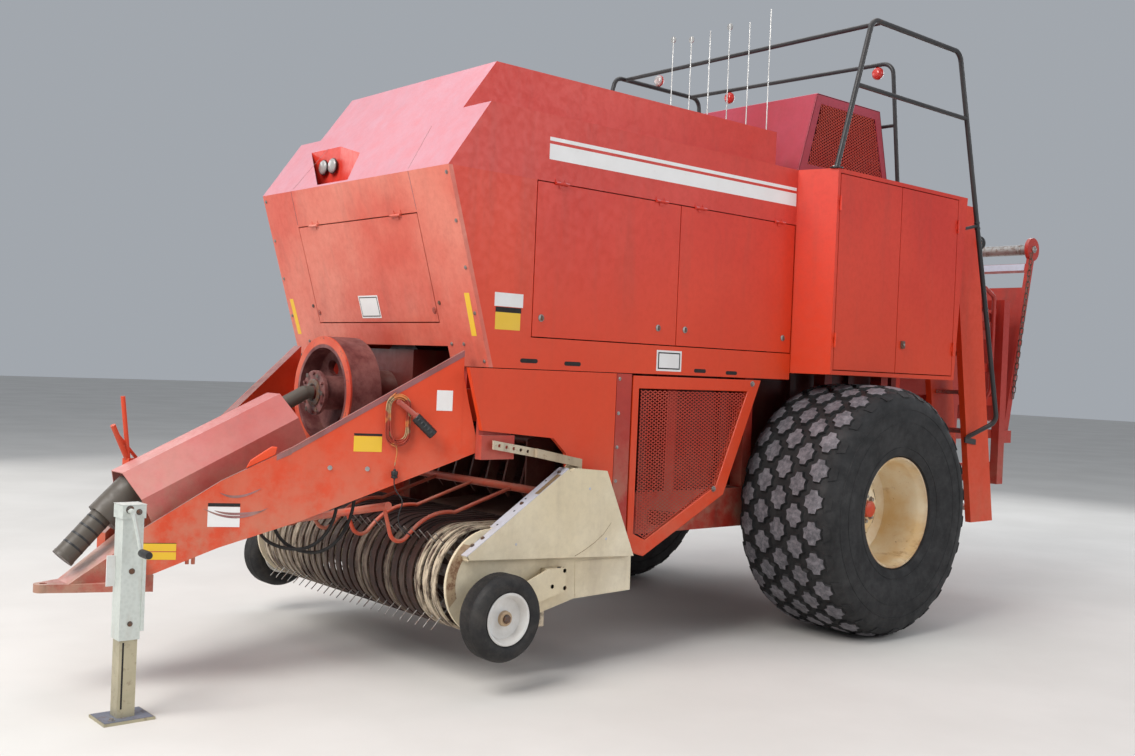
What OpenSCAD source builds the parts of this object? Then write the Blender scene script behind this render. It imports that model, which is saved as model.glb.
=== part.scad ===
// Large square baler, drawn in millimetres: +X runs forward to the hitch, +Y to the machine's
// left and +Z up from the ground. Stations along X are measured from the main axle, and the
// finished machine is then centred over the origin.

/* [Body] */
// Half the width over the side panels
body_half = 953; // [850:1:1000]
// Bottom edge of the upper side panels
body_low_z = 1572; // [1540:1:1600]
// Seam between the side panels and the hood
seam_z = 2532; // [2400:1:2650]
// Height of the shoulders and of the platform
shoulder_z = 2873; // [2800:1:2950]
// Height of the raised hood
hood_top_z = 3147; // [3000:1:3300]
// Half the width of the raised hood
hood_half = 716; // [600:1:760]
// Station of the nose at the seam
nose_x = 3108; // [3000:1:3200]
// Station where the nose slope meets the shoulder
shoulder_x = 2868; // [2760:1:2950]
// Station where the raised hood's front slope reaches its top
hood_front_x = 2667; // [2500:1:2750]
// Station of the raised hood's rear wall
hood_rear_x = 412; // [350:1:460]
// Station of the nose's lower edge, at the bottom of the side panels
nose_low_x = 2816; // [2700:1:2900]
// Station of the twine boxes' front corner, where the side panels end
box_x = 473; // [460:1:560]
// Thickness of a flanged body panel or door
panel_t = 25; // [15:1:35]
// Thickness of the hood's shell
shell_t = 12; // [6:1:20]
// Running gap round a door
door_gap = 6; // [5:0.5:9]

/* [Side doors] */
// Bottom edge of the side doors
door_low_z = 1738; // [1690:1:1800]
// Station of the front door's front edge
door_front_x = 2558; // [2480:1:2620]
// Station of the seam between the two side doors
door_mid_x = 1504; // [1300:1:1700]
// Radius of a hinge knuckle
knuckle_r = 7; // [5:0.5:9]

/* [Front face] */
// Half the width of the front access panel
access_half = 606; // [500:1:640]
// Bottom edge of the front access panel
access_low_z = 1794; // [1750:1:1850]
// Top edge of the front access panel
access_top_z = 2328; // [2200:1:2400]
// Half the width of the opening under the access panel
mouth_half = 640; // [560:1:700]
// Top of the opening under the access panel
mouth_top_z = 1672; // [1640:1:1720]
// Distance of the headlamps' middle from the centre plane
lamp_y = -482; // [-500:1:-460]
// Height of the headlamps
lamp_z = 2684; // [2670:1:2700]

/* [Twine boxes] */
// Half the width over the twine boxes
box_half = 1200; // [1100:1:1260]
// Bottom of the twine boxes
box_low_z = 1614; // [1600:1:1660]
// Station of the twine boxes' outer front corner
box_front_x = 399; // [360:1:440]
// Station of the twine boxes' rear edge at the top
box_rear_x = -1075; // [-1160:1:-1000]
// How far the rear edge leans forward over its height
box_lean = 82; // [0:1:160]
// Station of the seam between a twine box's two doors
box_seam_x = -288; // [-420:1:-150]
// Thickness of the twine boxes' walls and doors
box_t = 25; // [15:1:35]

/* [Bale chamber] */
// Half the inside width of the bale chamber
bale_half = 594; // [560:1:600]
// Floor of the bale chamber
bale_low_z = 900; // [880:1:940]
// Inside height of the bale chamber
bale_h = 1270; // [1200:1:1330]
// Thickness of the chamber's plates
plate_t = 14; // [8:1:18]
// Depth of the chamber's ribs
rib_h = 40; // [25:1:44]
// Station of the chamber's rear end
chamber_rear_x = -2620; // [-2700:1:-2500]
// Station where the railed rear section begins
rails_x = -1150; // [-1300:1:-1000]
// Station of the chamber's front end
chamber_front_x = 2000; // [1900:1:2100]

/* [Chassis] */
// Height of the main sills
sill_h = 240; // [180:1:280]
// Width of the main sills
sill_w = 90; // [60:1:100]
// Station of the sills' rear end
sill_rear_x = -1555; // [-1560:1:-1450]
// Side of the square axle beam
axle_side = 130; // [100:1:140]

/* [Main wheels] */
// Outer radius over the tread
tyre_r = 780; // [740:1:800]
// Half the overall width of the machine over its tyres
track_half = 1500; // [1450:1:1540]
// Clearance between a tyre and the sill beside it
wheel_gap = 52; // [45:1:80]
// Radius of the rim's flange
rim_r = 355; // [340:1:370]
// Radius of the wheel spindle
spindle_r = 40; // [30:1:50]

/* [Tongue] */
// Station of the hitch pin
pin_x = 4584; // [4500:1:4640]
// Height of the hitch plate's middle
hitch_z = 485; // [450:1:520]
// Radius of the hitch pin hole
pin_hole_r = 17; // [13:0.5:20]
// Thickness of the hitch plate
hitch_t = 38; // [25:1:50]
// Thickness of a tongue side plate with its folded edges
tongue_t = 50; // [30:1:70]

/* [Jack] */
// Station of the jack
jack_x = 4414; // [4350:1:4460]
// Distance of the jack from the centre plane
jack_y = 560; // [480:1:620]
// Top of the jack's cap
jack_top_z = 925; // [880:1:980]
// Side of the jack's outer tube
jack_side = 90; // [80:1:110]
// How far the jack's leg can be wound up
jack_travel = 310; // [200:1:330]

/* [Flywheel] */
// Outer radius of the flywheel
fly_r = 300; // [260:1:330]
// Width of the flywheel's rim
fly_w = 185; // [120:1:210]
// Station of the flywheel's front face
fly_x = 3200; // [3150:1:3260]
// Height of the input shaft
fly_z = 1400; // [1370:1:1430]

/* [Pickup] */
// Station of the reel's shaft
reel_x = 2780; // [2740:1:2820]
// Height of the reel's shaft
reel_z = 515; // [500:1:540]
// Outer radius of the stripper bands
band_r = 262; // [240:1:270]
// Radius at the tips of the tines
tine_r = 335; // [300:1:345]
// Spacing of the tines and of the bands
tine_pitch = 70; // [68:0.5:72]
// Diameter of a tine
tine_d = 6; // [5:0.5:8]
// Width of a stripper band
band_w = 46; // [36:1:50]
// How far an end shield stands off its plate
shield_off = 50; // [40:1:60]
// Station of the pickup's pivot
lift_x = 2010; // [1980:1:2060]
// Height of the pickup's pivot
lift_z = 760; // [730:1:800]

/* [Gauge wheels] */
// Radius of a gauge wheel
gauge_r = 211; // [200:1:215]
// Width of a gauge wheel's tyre
gauge_w = 150; // [130:1:158]
// Clearance between a gauge wheel and its arm
gauge_gap = 15; // [10:1:25]
// Station of the gauge wheels
gauge_x = 2820; // [2780:1:2850]
// Height of the gauge wheels' axles
gauge_z = 373; // [350:1:400]

/* [Fan housing] */
// Half the width of the fan housing
fan_half = 650; // [560:1:700]
// Height of the fan housing's top
fan_top_z = 3497; // [3300:1:3600]
// Thickness of the fan housing's walls
fan_t = 12; // [6:1:20]

/* [Platform rails] */
// Height of the rails
rail_z = 3855; // [3700:1:3950]
// Height of the middle rails
mid_rail_z = 3420; // [3300:1:3500]
// Distance of the rails from the centre plane
rail_y = 1172; // [1100:1:1180]
// Diameter of the rail tube
rail_d = 34; // [26:1:42]

/* [Ladder] */
// Outer face of the ladder's outer stringer
ladder_y = 1015; // [980:1:1040]
// Inner face of the ladder's inner stringer
ladder_in_y = 700; // [680:1:740]
// Bottom of the ladder
ladder_low_z = 580; // [500:1:650]
// Thickness of a stringer
stringer_t = 45; // [30:1:60]

/* [Bale chute] */
// Station of the chute's hinge
chute_x = -2700; // [-2760:1:-2680]
// Height of the chute's hinge
chute_z = 1180; // [1000:1:1300]
// Length of the chute's arms, from hinge to roller
chute_len = 1590; // [1300:1:1650]
// Angle of the folded chute behind the vertical
chute_lean = 12; // [5:1:18]
// Radius of the end plates at the chute's roller
chute_end_r = 95; // [70:1:110]
// Outer face of the chute's arms
chute_y = 660; // [640:1:680]

/* [Hidden] */
$fn = 48;
// Clearance of a shaft in its hole, and between the knuckles of a hinge
fit_gap = 0.3;
// Extra length of a cut past the face that it opens
over = 2;

// Foremost and rearmost stations, which centre the machine over the origin
tip_r = 42;
front_tip_x = pin_x + tip_r;
roller_x = chute_x - chute_len * sin(chute_lean);
roller_z = chute_z + chute_len * cos(chute_lean);
rear_tip_x = roller_x - chute_end_r;
mid_x = (front_tip_x + rear_tip_x) / 2;

axle_z = tyre_r;
sill_in_y = bale_half + plate_t + rib_h;
sill_out_y = sill_in_y + sill_w;
// The tyre fills the room between the sill and the overall width
tyre_w = track_half - sill_out_y - wheel_gap;
// Pickup: end plates, shields, gauge wheels and as many bands as fit between the plates
plate_in_y = body_half + 12;
plate_out_y = plate_in_y + 15;
shield_y = plate_out_y + shield_off;
gauge_arm_t = 10;
gauge_y = shield_y + gauge_arm_t + gauge_gap + gauge_w;
band_gap = 40;
tine_count = floor((2 * (plate_in_y - band_gap) - band_w) / tine_pitch);
sill_top_z = bale_low_z - plate_t;
sill_low_z = sill_top_z - sill_h;
gearbox_rear_x = 2250;
post_x = 1945;
post_w = 110;
lower_low_z = 590;
fly_rear_x = fly_x - fly_w;

RED = [0.80, 0.16, 0.11];
DARK_RED = [0.45, 0.09, 0.08];
CREAM = [0.80, 0.74, 0.60];
STEEL = [0.62, 0.63, 0.62];
DARK = [0.10, 0.10, 0.11];
RUST = [0.42, 0.25, 0.17];

// Moves a piece from the axle's frame to the centred one
module centred() {
  translate([-mid_x, 0, 0]) children();
}

// A piece drawn for the left side, on the left for side 1 and mirrored for side -1
module on_side(side) {
  if (side > 0) children();
  else mirror([0, 1, 0]) children();
}

// Extrudes an XZ outline from y_low to y_high
module side_plate(y_low, y_high) {
  translate([0, y_high, 0]) rotate([90, 0, 0]) linear_extrude(y_high - y_low) children();
}

// A round bar from point a to point b
module bar(a, b, d) {
  v = b - a;
  length = norm(v);
  translate(a)
    rotate([0, acos(v[2] / length), atan2(v[1], v[0])])
      cylinder(d = d, h = length);
}

// A round tube along points, bent to a radius at the inner ones. Its bends are a shade thicker.
bend_over = 0.8;
function unit(v) = v / norm(v);
function bend_angle(a, b, c) = acos(unit(b - a) * unit(c - b));
module bent_tube(points, d, bend) {
  last = len(points) - 1;
  // Length that each bend takes from the straights on either side of it
  cut = [for (i = [0:last]) i == 0 || i == last ? 0
    : bend * tan(bend_angle(points[i - 1], points[i], points[i + 1]) / 2)];
  for (i = [0:last - 1]) {
    u = unit(points[i + 1] - points[i]);
    bar(points[i] + u * (cut[i] - (i > 0 ? 2 : 0)),
        points[i + 1] - u * (cut[i + 1] - (i < last - 1 ? 2 : 0)), d);
  }
  for (i = [1:last - 1]) {
    u = unit(points[i] - points[i - 1]);
    v = unit(points[i + 1] - points[i]);
    inward = unit(v - u * (u * v));
    axis = cross(u, inward);
    // The bend's own frame: X away from its centre, Y along the first straight, Z its axis
    translate(points[i] - u * cut[i] + inward * bend)
      multmatrix([for (k = [0:2]) [-inward[k], u[k], axis[k], 0]])
        rotate_extrude(angle = acos(u * v)) translate([bend, 0]) circle(d = d + bend_over);
  }
}

// A block given by its lowest and highest corners
module block(low, high) {
  translate(low) cube(high - low);
}

// Cylinder along Y, centred on x and z, from y_low to y_high
module y_rod(x, z, y_low, y_high, r) {
  translate([x, y_high, z]) rotate([90, 0, 0]) cylinder(r = r, h = y_high - y_low);
}

// Cylinder along X, centred on y and z, from x_low to x_high
module x_rod(y, z, x_low, x_high, r) {
  translate([x_low, y, z]) rotate([0, 90, 0]) cylinder(r = r, h = x_high - x_low);
}

// Station of the nose face at a height
function nose_face(z) = nose_low_x + (z - body_low_z) * (nose_x - nose_low_x) / (seam_z - body_low_z);

// Station of a twine box's rear edge at a height
function box_rear(z) = box_rear_x + box_lean * (shoulder_z - z) / (shoulder_z - box_low_z);

// Hinge knuckles along local X, drawn about the axis, with a leaf that runs along local -Z
// when the door carries it and along local +Z when the fixed panel does.
hinge_len = 90;
knuckle_share = 0.4;
leaf_t = 3;
leaf_l = 24;
module door_knuckle(out) {
  w = hinge_len * knuckle_share;
  x_rod(0, 0, -w / 2, w / 2, knuckle_r);
  translate([-w / 2, -out, -leaf_l]) cube([w, leaf_t, leaf_l]);
}
module frame_knuckles(out) {
  w = hinge_len * knuckle_share;
  side = (hinge_len - w) / 2 - fit_gap;
  for (x = [-hinge_len / 2, w / 2 + fit_gap]) {
    x_rod(0, 0, x, x + side, knuckle_r);
    translate([x, -out, 0]) cube([side, leaf_t, leaf_l]);
  }
}
hinge_out = knuckle_r + 1;

// Body panels

// Hood: nose slope, stripe panels, shoulders and raised centre as one shell, open below
module hood() {
  slope = (nose_x - shoulder_x) / (shoulder_z - seam_z);
  rise = (shoulder_x - hood_front_x) / (hood_top_z - shoulder_z);
  inner_top = shoulder_z - shell_t;
  inner_hood = hood_top_z - shell_t;
  inset = shell_t * sqrt(1 + slope * slope);
  color(RED) centred() {
    difference() {
      hood_shell(slope, rise, inset, inner_top, inner_hood);
      lamp_pocket(0, seam_z + shell_t);
    }
    intersection() {
      side_plate(-body_half, body_half)
        polygon([[box_x, seam_z], [nose_x, seam_z], [shoulder_x, shoulder_z], [box_x, shoulder_z]]);
      difference() {
        lamp_pocket(shell_t, seam_z);
        lamp_pocket(0, seam_z + shell_t);
      }
    }
    for (side = [-1, 1], door = side_doors) on_side(side)
      side_hinges(door) frame_knuckles(hinge_out);
  }
}

// The pocket's vertical walls in plan, drawn out by a wall's thickness, from a floor height up
pocket_back_x = nose_x - 183;
module lamp_pocket(grow, floor_z) {
  translate([0, 0, floor_z]) linear_extrude(shoulder_z - floor_z)
    polygon([[nose_x + 92, lamp_y + 397 - 2 * grow], [pocket_back_x - grow, lamp_y - 236 - 2 * grow],
             [pocket_back_x - grow, lamp_y + 102 + grow], [pocket_back_x + 54 - grow, lamp_y + 407 + grow],
             [nose_x + 92, lamp_y + 562 + 2 * grow]]);
}

module hood_shell(slope, rise, inset, inner_top, inner_hood) {
  difference() {
    union() {
      side_plate(-body_half, body_half)
        polygon([[box_x, seam_z], [nose_x, seam_z], [shoulder_x, shoulder_z], [box_x, shoulder_z]]);
      side_plate(-hood_half, hood_half)
        polygon([[hood_rear_x, shoulder_z], [shoulder_x, shoulder_z], [hood_front_x, hood_top_z],
                 [hood_rear_x, hood_top_z]]);
    }
    side_plate(-body_half + shell_t, body_half - shell_t)
      polygon([[box_x - over, seam_z - over], [nose_x - inset + slope * over, seam_z - over],
               [shoulder_x - inset + slope * shell_t, inner_top], [box_x - over, inner_top]]);
    side_plate(-hood_half + shell_t, hood_half - shell_t)
      polygon([[hood_rear_x + shell_t, shoulder_z - shell_t - over],
               [shoulder_x - 2 * inset, shoulder_z - shell_t - over],
               [hood_front_x - inset + rise * shell_t, inner_hood],
               [hood_rear_x + shell_t, inner_hood]]);
  }
}

// Leaning front face with the access opening and the mouth below it
module nose_panel() {
  color(RED) centred() {
    difference() {
      side_plate(-body_half, body_half)
        polygon([[nose_face(body_low_z), body_low_z], [nose_x, seam_z], [nose_x - panel_t, seam_z],
                 [nose_face(body_low_z) - panel_t, body_low_z]]);
      block([nose_low_x - 100, -access_half - door_gap, access_low_z - door_gap],
            [nose_x + 10, access_half + door_gap, access_top_z + door_gap]);
      block([nose_low_x - 100, -mouth_half, body_low_z - over], [nose_x, mouth_half, mouth_top_z]);
    }
    front_hinges() frame_knuckles(hinge_out);
  }
}

access_y = [-1, 1] * access_half * 0.7;
access_lean = atan2(nose_x - nose_low_x, seam_z - body_low_z);
access_hinge_z = access_top_z + door_gap / 2;
module front_hinges() {
  for (y = access_y)
    translate([nose_face(access_hinge_z), y, access_hinge_z])
      rotate([0, access_lean, 0]) rotate([0, 0, -90])
        translate([0, hinge_out, 0]) children();
}

// Access panel on the nose, hinged along its top edge
module front_door() {
  color(RED) centred() {
    intersection() {
      side_plate(-access_half, access_half)
        polygon([[nose_face(body_low_z), body_low_z], [nose_x, seam_z], [nose_x - panel_t, seam_z],
                 [nose_face(body_low_z) - panel_t, body_low_z]]);
      block([0, -access_half, access_low_z], [nose_x, access_half, access_top_z]);
    }
    front_hinges() door_knuckle(hinge_out);
  }
}

// Fixed part of a side: behind the nose, and a strip under the doors
module side_panel(side) {
  color(RED) centred() on_side(side) {
    side_plate(body_half - panel_t, body_half)
      polygon([[nose_face(body_low_z) - panel_t, body_low_z], [nose_x - panel_t, seam_z],
               [door_front_x, seam_z], [door_front_x, door_low_z - door_gap],
               [box_x + door_gap, door_low_z - door_gap], [box_x + door_gap, body_low_z]]);
  }
}

// Hinge stations of the two side doors: their front and rear edges
side_doors = [
  [door_mid_x + door_gap / 2, door_front_x - door_gap],
  [box_x + 2 * door_gap, door_mid_x - door_gap / 2]
];
side_hinge_z = seam_z - door_gap / 2;
module side_hinges(door) {
  for (share = [0.15, 0.85])
    translate([door[0] + (door[1] - door[0]) * share, body_half + hinge_out, side_hinge_z]) children();
}

module side_door(side, index) {
  door = side_doors[index];
  color(RED) centred() on_side(side) {
    side_plate(body_half - panel_t, body_half)
      polygon([[door[0], door_low_z], [door[1], door_low_z], [door[1], seam_z - door_gap],
               [door[0], seam_z - door_gap]]);
    side_hinges(door) door_knuckle(hinge_out);
  }
}

// Lower panel behind the tongue, with its tail running down behind the pickup's shield
lower_top = body_low_z - 4;
module lower_panel(side) {
  color(RED) centred() on_side(side) difference() {
    side_plate(body_half - panel_t, body_half)
      polygon([[2935, lower_top], [2840, 1260], [2380, 1220], [2290, 1140], [2200, lower_low_z],
               [post_x + 4, lower_low_z], [post_x + 4, lower_top]]);
    y_rod(lift_x, lift_z, body_half - panel_t - over, body_half + over, lift_pin_r + fit_gap);
  }
}

// Mesh guard: folded frame round diagonal bars
guard_outer = [[1822, 1560], [745, 1560], [1045, 880], [1690, 560], [1822, 600]];
guard_inner = [[1775, 1490], [865, 1490], [1112, 932], [1680, 650], [1775, 690]];
guard_d = 40;
mesh_step = 75;
mesh_bar = 8;
module mesh_guard(side) {
  color(RED) centred() on_side(side) {
    side_plate(body_half - guard_d, body_half) difference() {
      polygon(guard_outer);
      polygon(guard_inner);
    }
    side_plate(body_half - 22, body_half - 16) intersection() {
      polygon(guard_inner);
      union() for (turn = [-38, 38], i = [-12:12])
        translate([1300, 1100]) rotate(turn) translate([-900, i * mesh_step - mesh_bar / 2])
          square([1800, mesh_bar]);
    }
  }
}

// Twine boxes and their doors
box_in_y = sill_out_y + 22;
jamb_x = box_rear(box_low_z) + 30;
// Each leaf: rear edge, front edge, turn of its hinges about Y
twine_leaves = [
  [box_seam_x + door_gap / 2, box_front_x - box_t - door_gap, 90],
  [jamb_x + door_gap, box_seam_x - door_gap / 2, -90]
];
twine_door_low_z = box_low_z + box_t + door_gap;
twine_door_top_z = shoulder_z - box_t - door_gap;

module twine_hinges(index) {
  leaf = twine_leaves[index];
  x = index == 0 ? leaf[1] + door_gap / 2 : leaf[0] - door_gap / 2;
  for (share = [0.15, 0.85])
    translate([x, box_half + hinge_out, twine_door_low_z + (twine_door_top_z - twine_door_low_z) * share])
      rotate([0, leaf[2], 0]) children();
}

// The box's outline drawn in by an inset, up to a given distance from the centre plane
module box_shape(inset, out_y) {
  intersection() {
    translate([0, 0, box_low_z + inset]) linear_extrude(shoulder_z - box_low_z - 2 * inset)
      polygon([[box_x - inset, box_in_y + inset], [box_x - inset, body_half],
               [box_front_x - inset, box_half], [box_rear_x - box_lean, box_half],
               [box_rear_x - box_lean, box_in_y + inset]]);
    side_plate(box_in_y + inset, out_y)
      polygon([[box_x, box_low_z], [box_x, shoulder_z], [box_rear_x + inset, shoulder_z],
               [box_rear(box_low_z) + inset, box_low_z]]);
  }
}

module twine_box(side) {
  color(RED) centred() on_side(side) {
    difference() {
      box_shape(0, box_half);
      box_shape(box_t, box_half - box_t - over);
      block([jamb_x, box_half - box_t - 3 * over, box_low_z + box_t],
            [box_front_x - box_t, box_half + over, shoulder_z - box_t]);
    }
    twine_hinges(0) frame_knuckles(hinge_out);
    twine_hinges(1) frame_knuckles(hinge_out);
  }
}

module twine_door(side, index) {
  leaf = twine_leaves[index];
  color(RED) centred() on_side(side) {
    block([leaf[0], box_half - box_t, twine_door_low_z], [leaf[1], box_half, twine_door_top_z]);
    twine_hinges(index) door_knuckle(hinge_out);
  }
}

// Chassis: sills, cross members, axle with its spindles, uprights and the front frame
upright_x = [-900, -250, 560, 1250];
upright_w = 80;
upright_top_z = shoulder_z - shell_t - 28;
front_beam_z = [1300, 1460];
tie_x = [2700, 2790];
tie_top_z = seam_z - 20;
hub_in_y = sill_out_y + wheel_gap + 60;
spindle_end_y = track_half - 300;
lift_pin_r = 25;
lift_plate_y = body_half - panel_t - 38;
module chassis() {
  post_in_x = post_x - post_w;
  color(RED) centred() {
    for (side = [-1, 1]) on_side(side) {
      block([sill_rear_x, sill_in_y, sill_low_z], [post_in_x, sill_out_y, sill_top_z]);
      for (x = upright_x)
        block([x, sill_in_y, sill_top_z], [x + upright_w, sill_out_y, upright_top_z]);
      block([post_in_x, sill_in_y, sill_low_z], [post_x, sill_out_y, tie_top_z]);
      block([tie_x[0], sill_in_y, front_beam_z[0]], [tie_x[1], sill_out_y, tie_top_z]);
      block([post_x, sill_in_y, front_beam_z[0]], [tie_x[0], sill_out_y, front_beam_z[1]]);
      // arms to the side panels
      for (x = [600, post_in_x + 20, tie_x[0]])
        block([x, sill_out_y, 1600], [x + 70, body_half - panel_t, 1660]);
      block([tie_x[0], sill_out_y, 2440], [tie_x[1], body_half - panel_t, 2500]);
      // pads for the twine boxes
      for (x = [upright_x[0], upright_x[1]])
        block([x, sill_out_y, 1900], [x + 60, box_in_y, 2100]);
      // outer post and the pickup's pivot pin
      block([post_in_x, body_half - 50, lower_low_z], [post_x, body_half, lower_top]);
      block([post_in_x, sill_out_y, 700], [post_x - 20, body_half - 50, 820]);
      block([post_x - over, lift_plate_y, lift_z - 60], [lift_x + 60, body_half - panel_t, lift_z + 60]);
      y_rod(lift_x, lift_z, lift_plate_y, shield_y - 20, lift_pin_r);
      // brackets of the mesh guard
      block([1380, sill_out_y, 700], [1440, body_half - guard_d, 780]);
      block([upright_x[3] + 10, sill_out_y, 1500], [upright_x[3] + 70, body_half - guard_d, 1550]);
      // link bracket under the lower panel
      block([2640, body_half - panel_t - 20, 1117], [2845, body_half - panel_t, 1400]);
      block([2640, body_half - panel_t, 1117], [2845, body_half + 4, 1236]);
      block([tie_x[0] + 10, sill_out_y, 1310], [tie_x[1] - 10, body_half - panel_t - 20, 1390]);
      // axle and spindle
      block([-axle_side / 2, 0, axle_z - axle_side / 2], [axle_side / 2, hub_in_y - 20, axle_z + axle_side / 2]);
      y_rod(0, axle_z, sill_out_y, spindle_end_y, spindle_r);
    }
    for (x = [-760, 760])
      block([x, -sill_in_y, sill_top_z - 110], [x + 90, sill_in_y, sill_top_z]);
    block([sill_rear_x, -sill_in_y, sill_top_z - 110], [sill_rear_x + 90, sill_in_y, bale_low_z - rail_t]);
    block([post_in_x - 90, -sill_in_y, sill_low_z], [post_in_x, sill_in_y, sill_low_z + 40]);
    block([tie_x[0], -sill_in_y, front_beam_z[0] - 60], [tie_x[1], sill_in_y, front_beam_z[0] + 20]);
  }
}

// Bale chamber: plated front section with ribs, open to the rails behind
rib_w = 60;
rib_x = [-1140, -620, 20, 700, 1400, 1930];
feed_x = [1090, 1700];
module bale_chamber() {
  out_y = bale_half + plate_t;
  top_z = bale_low_z + bale_h;
  color(RED) centred() {
    difference() {
      block([rails_x, -out_y, bale_low_z - plate_t], [chamber_front_x, out_y, top_z + plate_t]);
      block([rails_x - over, -bale_half, bale_low_z], [chamber_front_x + over, bale_half, top_z]);
      block([feed_x[0], -bale_half + 20, bale_low_z - plate_t - over],
            [feed_x[1], bale_half - 20, bale_low_z + over]);
    }
    for (x = rib_x) {
      for (side = [-1, 1]) on_side(side)
        block([x, out_y, bale_low_z - plate_t], [x + rib_w, out_y + rib_h, top_z + plate_t + rib_h]);
      block([x, -out_y, top_z + plate_t], [x + rib_w, out_y, top_z + plate_t + rib_h]);
    }
  }
}

// Railed rear section: rails on all four sides inside two hoops, with the chute's ears
rail_h = 70;
rail_t = 40;
side_rail_z = [905, 1165, 1430, 1695, 1955, 2100];
floor_rail_y = [-500, -260, -35, 190, 430];
hoop_w = 90;
hoop_x = [-1900, chamber_rear_x];
ear_t = 24;
chute_pin_r = 16;
module rear_rails() {
  low = bale_low_z - rail_t;
  top = bale_low_z + bale_h;
  rail_out_y = bale_half + rail_t;
  color(RED) centred() {
    for (z = side_rail_z, side = [-1, 1]) on_side(side)
      block([chamber_rear_x, bale_half, z], [rails_x, rail_out_y, z + rail_h]);
    for (y = floor_rail_y) {
      block([chamber_rear_x, y, low], [rails_x, y + rail_h, bale_low_z]);
      block([chamber_rear_x, y, top], [rails_x, y + rail_h, top + rail_t]);
    }
    for (x = hoop_x) difference() {
      block([x, -ladder_in_y, low - 60], [x + hoop_w, ladder_in_y, top + rail_t + 70]);
      block([x - over, -rail_out_y, low], [x + hoop_w + over, rail_out_y, top + rail_t]);
    }
    // bent tube on the left, from the front hoop down to a side rail
    bent_tube([[hoop_x[0] + 40, rail_out_y + 26, top + rail_t + 40], [hoop_x[0] - 230, rail_out_y + 26, 2430],
               [chamber_rear_x + 180, rail_out_y + 26, 2300], [chamber_rear_x + 180, rail_out_y + 26, 1560],
               [chamber_rear_x + 180, rail_out_y - 22, side_rail_z[2] + 35]], 34, 50);
    for (side = [-1, 1]) on_side(side) {
      block([rails_x - 60, bale_half, low], [rails_x, rail_out_y, top + rail_t]);
      block([chute_x - 45, chute_y + 5, chute_z - 50], [chamber_rear_x, chute_y + 5 + ear_t, chute_z + 50]);
      y_rod(chute_x, chute_z, chute_y - 60, chute_y + 5, chute_pin_r);
    }
  }
}

// Gearbox behind the flywheel, with the fixed input shaft that carries it
shaft_r = 35;
gearbox_low_z = front_beam_z[0] + 20;
gearbox_front_x = fly_rear_x - 215;
shaft_end_x = fly_x + 60;
module gearbox() {
  color(DARK_RED) centred() {
    block([gearbox_rear_x, -260, gearbox_low_z], [gearbox_front_x, 260, 1650]);
    x_rod(0, fly_z + 60, gearbox_rear_x, tie_x[0] - 5, 240);
    x_rod(0, fly_z, gearbox_front_x, fly_rear_x - 20, 130);
    x_rod(0, fly_z, fly_rear_x - 20, shaft_end_x, shaft_r);
    for (side = [-1, 1]) on_side(side)
      block([gearbox_rear_x + 60, 260, gearbox_low_z], [gearbox_rear_x + 360, sill_in_y, front_beam_z[1]]);
  }
}

// Flywheel: heavy rim, dished web with windows, and the slip clutch on its hub
clutch_r = 118;
module flywheel() {
  web = 22;
  inner_r = fly_r - 60;
  bore_r = shaft_r + fit_gap;
  color(RED) centred() translate([fly_rear_x, 0, fly_z]) rotate([0, 90, 0]) {
    for (turn = [0:60:359])
      rotate(turn) translate([clutch_r - 16, 0, fly_w + 40]) cylinder(r = 9, h = 18);
    difference() {
      rotate_extrude()
        polygon([[bore_r, 0], [90, 0], [inner_r, 60], [inner_r, 0], [fly_r, 0], [fly_r, fly_w],
                 [inner_r, fly_w], [inner_r, 60 + web], [90, web + 20], [90, fly_w + 25],
                 [clutch_r, fly_w + 25], [clutch_r, fly_w + 45], [bore_r, fly_w + 45]]);
      for (turn = [0:72:359])
        rotate(turn) translate([165, 0, -over]) cylinder(r = 42, h = fly_w);
    }
  }
}

// Tongue: two tapering side plates that converge on the hitch. Local X runs forward along the
// plate's outer face from its rear edge, and local Y away from the machine.
tongue_rear = [2905, body_half - 83];
tongue_front = [4290, 165];
tongue_angle = atan2(tongue_rear[1] - tongue_front[1], tongue_front[0] - tongue_rear[0]);
tongue_len = norm(tongue_rear - tongue_front);
tongue_end_z = [545, 700];
tongue_top = [[0, 1650], [810, 1150], [1130, 985], [tongue_len, tongue_end_z[1]]];
tongue_low = [[tongue_len, tongue_end_z[0]], [tongue_len - 130, tongue_end_z[0]], [1130, 672],
              [760, 800], [0, 1115]];
module tongue_frame(side) {
  on_side(side) translate([tongue_rear[0], tongue_rear[1], 0]) rotate([0, 0, -tongue_angle]) children();
}
// Distance of a tongue plate's outer and inner face from the centre plane at a station
function tongue_out(x) = tongue_rear[1] - (x - tongue_rear[0]) * tan(tongue_angle);
function tongue_in(x) = tongue_out(x) - tongue_t / cos(tongue_angle);

module tongue(side) {
  color(RED) centred() {
    tongue_frame(side) side_plate(-tongue_t, 0) polygon(concat(tongue_top, tongue_low));
    if (side > 0) tongue_frame(side) {
      hose_fittings();
      for (x = [1243, 1270]) translate([x, -30, 590]) cylinder(d = 18, h = 90);
    }
    on_side(side)
      block([tie_x[1], sill_in_y + 42, front_beam_z[0]], [tongue_rear[0] - 12, tongue_rear[1] - 22, front_beam_z[1]]);
  }
}

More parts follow.
